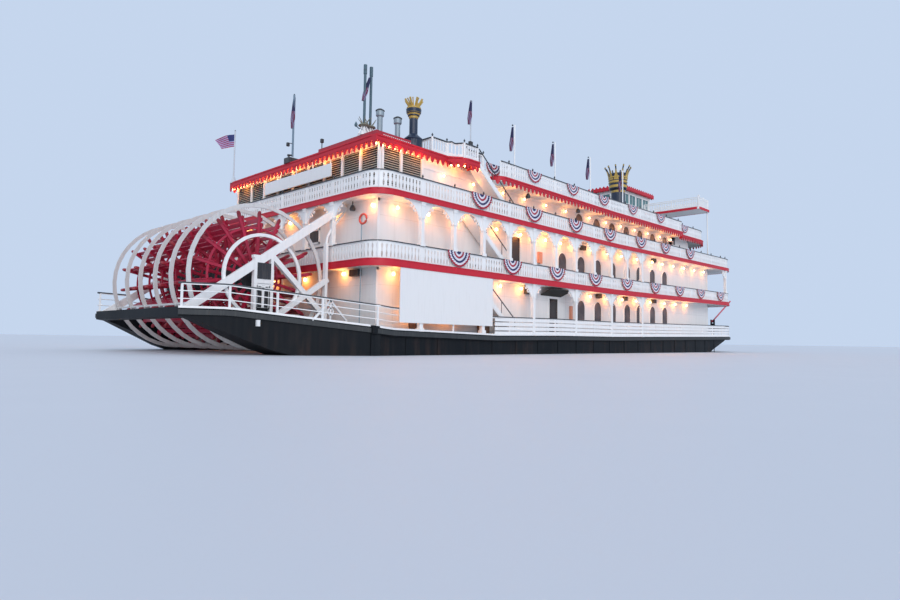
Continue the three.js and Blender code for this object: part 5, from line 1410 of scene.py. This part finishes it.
warm_lights("boiler_glow", on_both_sides(BOILER_LAMPS_X, GLOW_Y, 7.95))
warm_lights("main_glow", on_both_sides(MAIN_LAMPS_X, GLOW_Y, 4.3))
warm_lights("texas_glow", on_both_sides(TEXAS_LAMPS_X, 8.3, 10.7), 0.4)
warm_lights("stern_glow", [(-0.05, y, z - 0.1) for _, y, z in STERN_LAMPS])
warm_lights("stern_string", [(0.3, y, 11.35) for y in (-6.6, -3.3, 0.0, 3.3, 6.6)])
warm_lights("valance_glow", on_both_sides(np.arange(11.5, 37, 2.8), 8.75, 10.95), 0.4)
warm_lights("banner_glow", [(x, -8.75, 2.3) for x in (2.6, 5.6)])
warm_lights("roof_string", on_both_sides((1.6, 3.3, 6.6), 8.35, 11.3))

# Fittings
# Loudspeakers, spotlights, hose boxes, chests, a life ring and small dark gear, each screwed to a
# wall, a ceiling or the roof.
LOUDSPEAKERS = ((20.76, 8.16), (32.96, 8.31), (23.16, 4.56), (27.45, 4.56), (32.91, 4.56))
SPOTLIGHTS = ((18.65, 8.9, 8.2), (23.64, 8.9, 8.2), (12.75, 9.0, 10.78), (19.04, 9.0, 10.78),
              (10.9, 8.7, 8.2))
HOSE_BOXES = ((19.36, 3.0, 0.5, 1.1), (15.19, 6.8, 0.45, 0.8))
WING_LIGHTS = ((43.73, 16.12), (44.88, 16.0))
RING_PLACE = (-0.26, -7.69, 7.3)


def mirrored(low, high):
    """The same box on both sides of the boat; low and high are given for the port side."""
    return [block((low[0], side * low[1], low[2]), (high[0], side * high[1], high[2])) for _, side in SIDES]


def plain_paint(name, colour, dirty, slot, roughness=0.5):
    """The paint of small things: even, a little dirty."""
    return painted(name, colour, dirty=dirty, roughness=roughness, scale=3, slot=slot)


BOX_DARK = plain_paint("fitting_dark", (0.02, 0.02, 0.022), 0.3, "steel_plate", roughness=0.45)
boxes = [block((0.0, -7.0, 4.3), (0.26, -6.2, 4.66)), block((0.2, -6.6, 4.4), (0.3, -6.4, 4.55))]
for x, z in LOUDSPEAKERS:
    boxes += mirrored((x - 0.28, 8.25, z - 0.19), (x + 0.28, 8.5, z + 0.15))
    boxes += mirrored((x - 0.03, 8.2, z - 0.03), (x + 0.03, 8.26, z + 0.03))
piece("deck_boxes", boxes, BOX_DARK)
spot = joined([turned_round([(0.02, -0.24), (0.15, -0.22), (0.17, -0.1), (0.1, 0.06), (0.04, 0.1)], 12),
               block((-0.02, -0.02, 0.08), (0.02, 0.02, 0.32))])
spot_at = [(x, side * y, z) for _, side in SIDES for x, y, z in SPOTLIGHTS] + [(0.0, -6.4, 8.18)]
piece("spotlights", [stamped(spot, spot_at)], BOX_DARK)
hose_boxes = [box for x, z, w, h in HOSE_BOXES
              for box in mirrored((x - w / 2, WALL_Y, z - h / 2), (x + w / 2, WALL_Y + 0.14, z + h / 2))]
piece("hose_boxes", hose_boxes, plain_paint("hose_box_paint", (0.7, 0.26, 0.15), 0.1, "roof_red"))
gear = mirrored((13.45, 8.19, 4.1), (14.05, 8.45, 4.72)) + mirrored((37.76, 7.88, 10.4), (38.57, 7.93, 11.4))
gear += mirrored((6.72, 8.93, LANDING_Z + 0.95), (6.98, 9.08, LANDING_Z + 1.2))
gear += [block(*corners) for corners in (
    ((-0.08, 0.2, 11.95), (0.68, 0.8, 12.3)), ((-0.08, 0.42, 13.06), (0.08, 0.58, 13.28)),
    ((0.27, -2.83, 6.56), (0.31, -1.84, 7.34)), ((0.1, -3.08, 12.58), (0.26, -2.92, 12.8)))]
gear += [pipe([(0.35, 0.5, 13.3), (0.02, 0.5, 13.28)], 0.025),
         pipe([(0.35, 0.5, 12.56), (0.02, 0.5, 12.46)], (0.03, 0.09)),
         pipe([(0.18, -3.0, AFT_ROOF_Z), (0.18, -3.0, 12.6)], 0.03)]
piece("dark_fittings", gear, BOX_DARK)
NOTICE_FRAME = ((-2.9, -1.77, 7.3, 7.4), (-2.9, -1.77, 6.5, 6.6), (-2.9, -2.8, 6.5, 7.4),
                (-1.87, -1.77, 6.5, 7.4))
bright = [block((0.25, y0, z0), (0.32, y1, z1)) for y0, y1, z0, z1 in NOTICE_FRAME]
for x, z in WING_LIGHTS:
    bright += [pipe([(x, side * 8.3, WING_Z), (x, side * 8.3, z - 0.1)], 0.03) for _, side in SIDES]
    bright += mirrored((x - 0.1, 8.22, z - 0.12), (x + 0.1, 8.38, z + 0.12))
piece("white_fittings", bright, WHITE_PAINT)
chests = [box for x in (2.7, 8.55) for box in mirrored((x, 8.22, 1.28), (x + 0.75, 8.62, 1.85))]
piece("deck_chests", chests, plain_paint("chest_brown", (0.16, 0.08, 0.045), 0.4, "door_wood", roughness=0.6))
ring_path = [np.add(RING_PLACE, (0, 0.3 * np.cos(a), 0.26 * np.sin(a)))
             for a in np.linspace(0, 2 * np.pi, 13)]
piece("life_ring", [pipe(ring_path, 0.06)], plain_paint("lifebuoy_red", (0.75, 0.08, 0.05), 0.1, "roof_red"))
piece("stern_pipe", [pipe([(-0.2, -7.5, 1.3), (-0.2, -7.5, 7.55)], 0.03),
                     pipe([(-0.2, -7.5, 7.5), (-0.26, -7.6, 7.5)], 0.02)], STEEL_GREY, slot="white_paint")

# Engine, rudders, banners and boom
# Plain finishes for the nodes that scene.py adds nothing to: cast metal, white banner canvas and the
# red boom.
ENGINE_GREY = painted("engine_grey", (0.3, 0.31, 0.32), dirt=(0.08, 0.07, 0.06), dirty=0.5, roughness=0.5,
                      metallic=0.3)
BANNER_CANVAS = painted("banner_canvas", (0.8, 0.8, 0.79), dirt=(0.5, 0.48, 0.45), dirty=0.15, roughness=0.6,
                        scale=2)
coat(["engine", "rudder_starboard", "rudder_port"], ENGINE_GREY)
coat(["stern_banner", "side_banner_starboard", "side_banner_port"], BANNER_CANVAS)
coat(["bow_boom"], plain_paint("boom_red", (0.55, 0.06, 0.1), 0.3, None, roughness=0.4))

low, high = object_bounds()
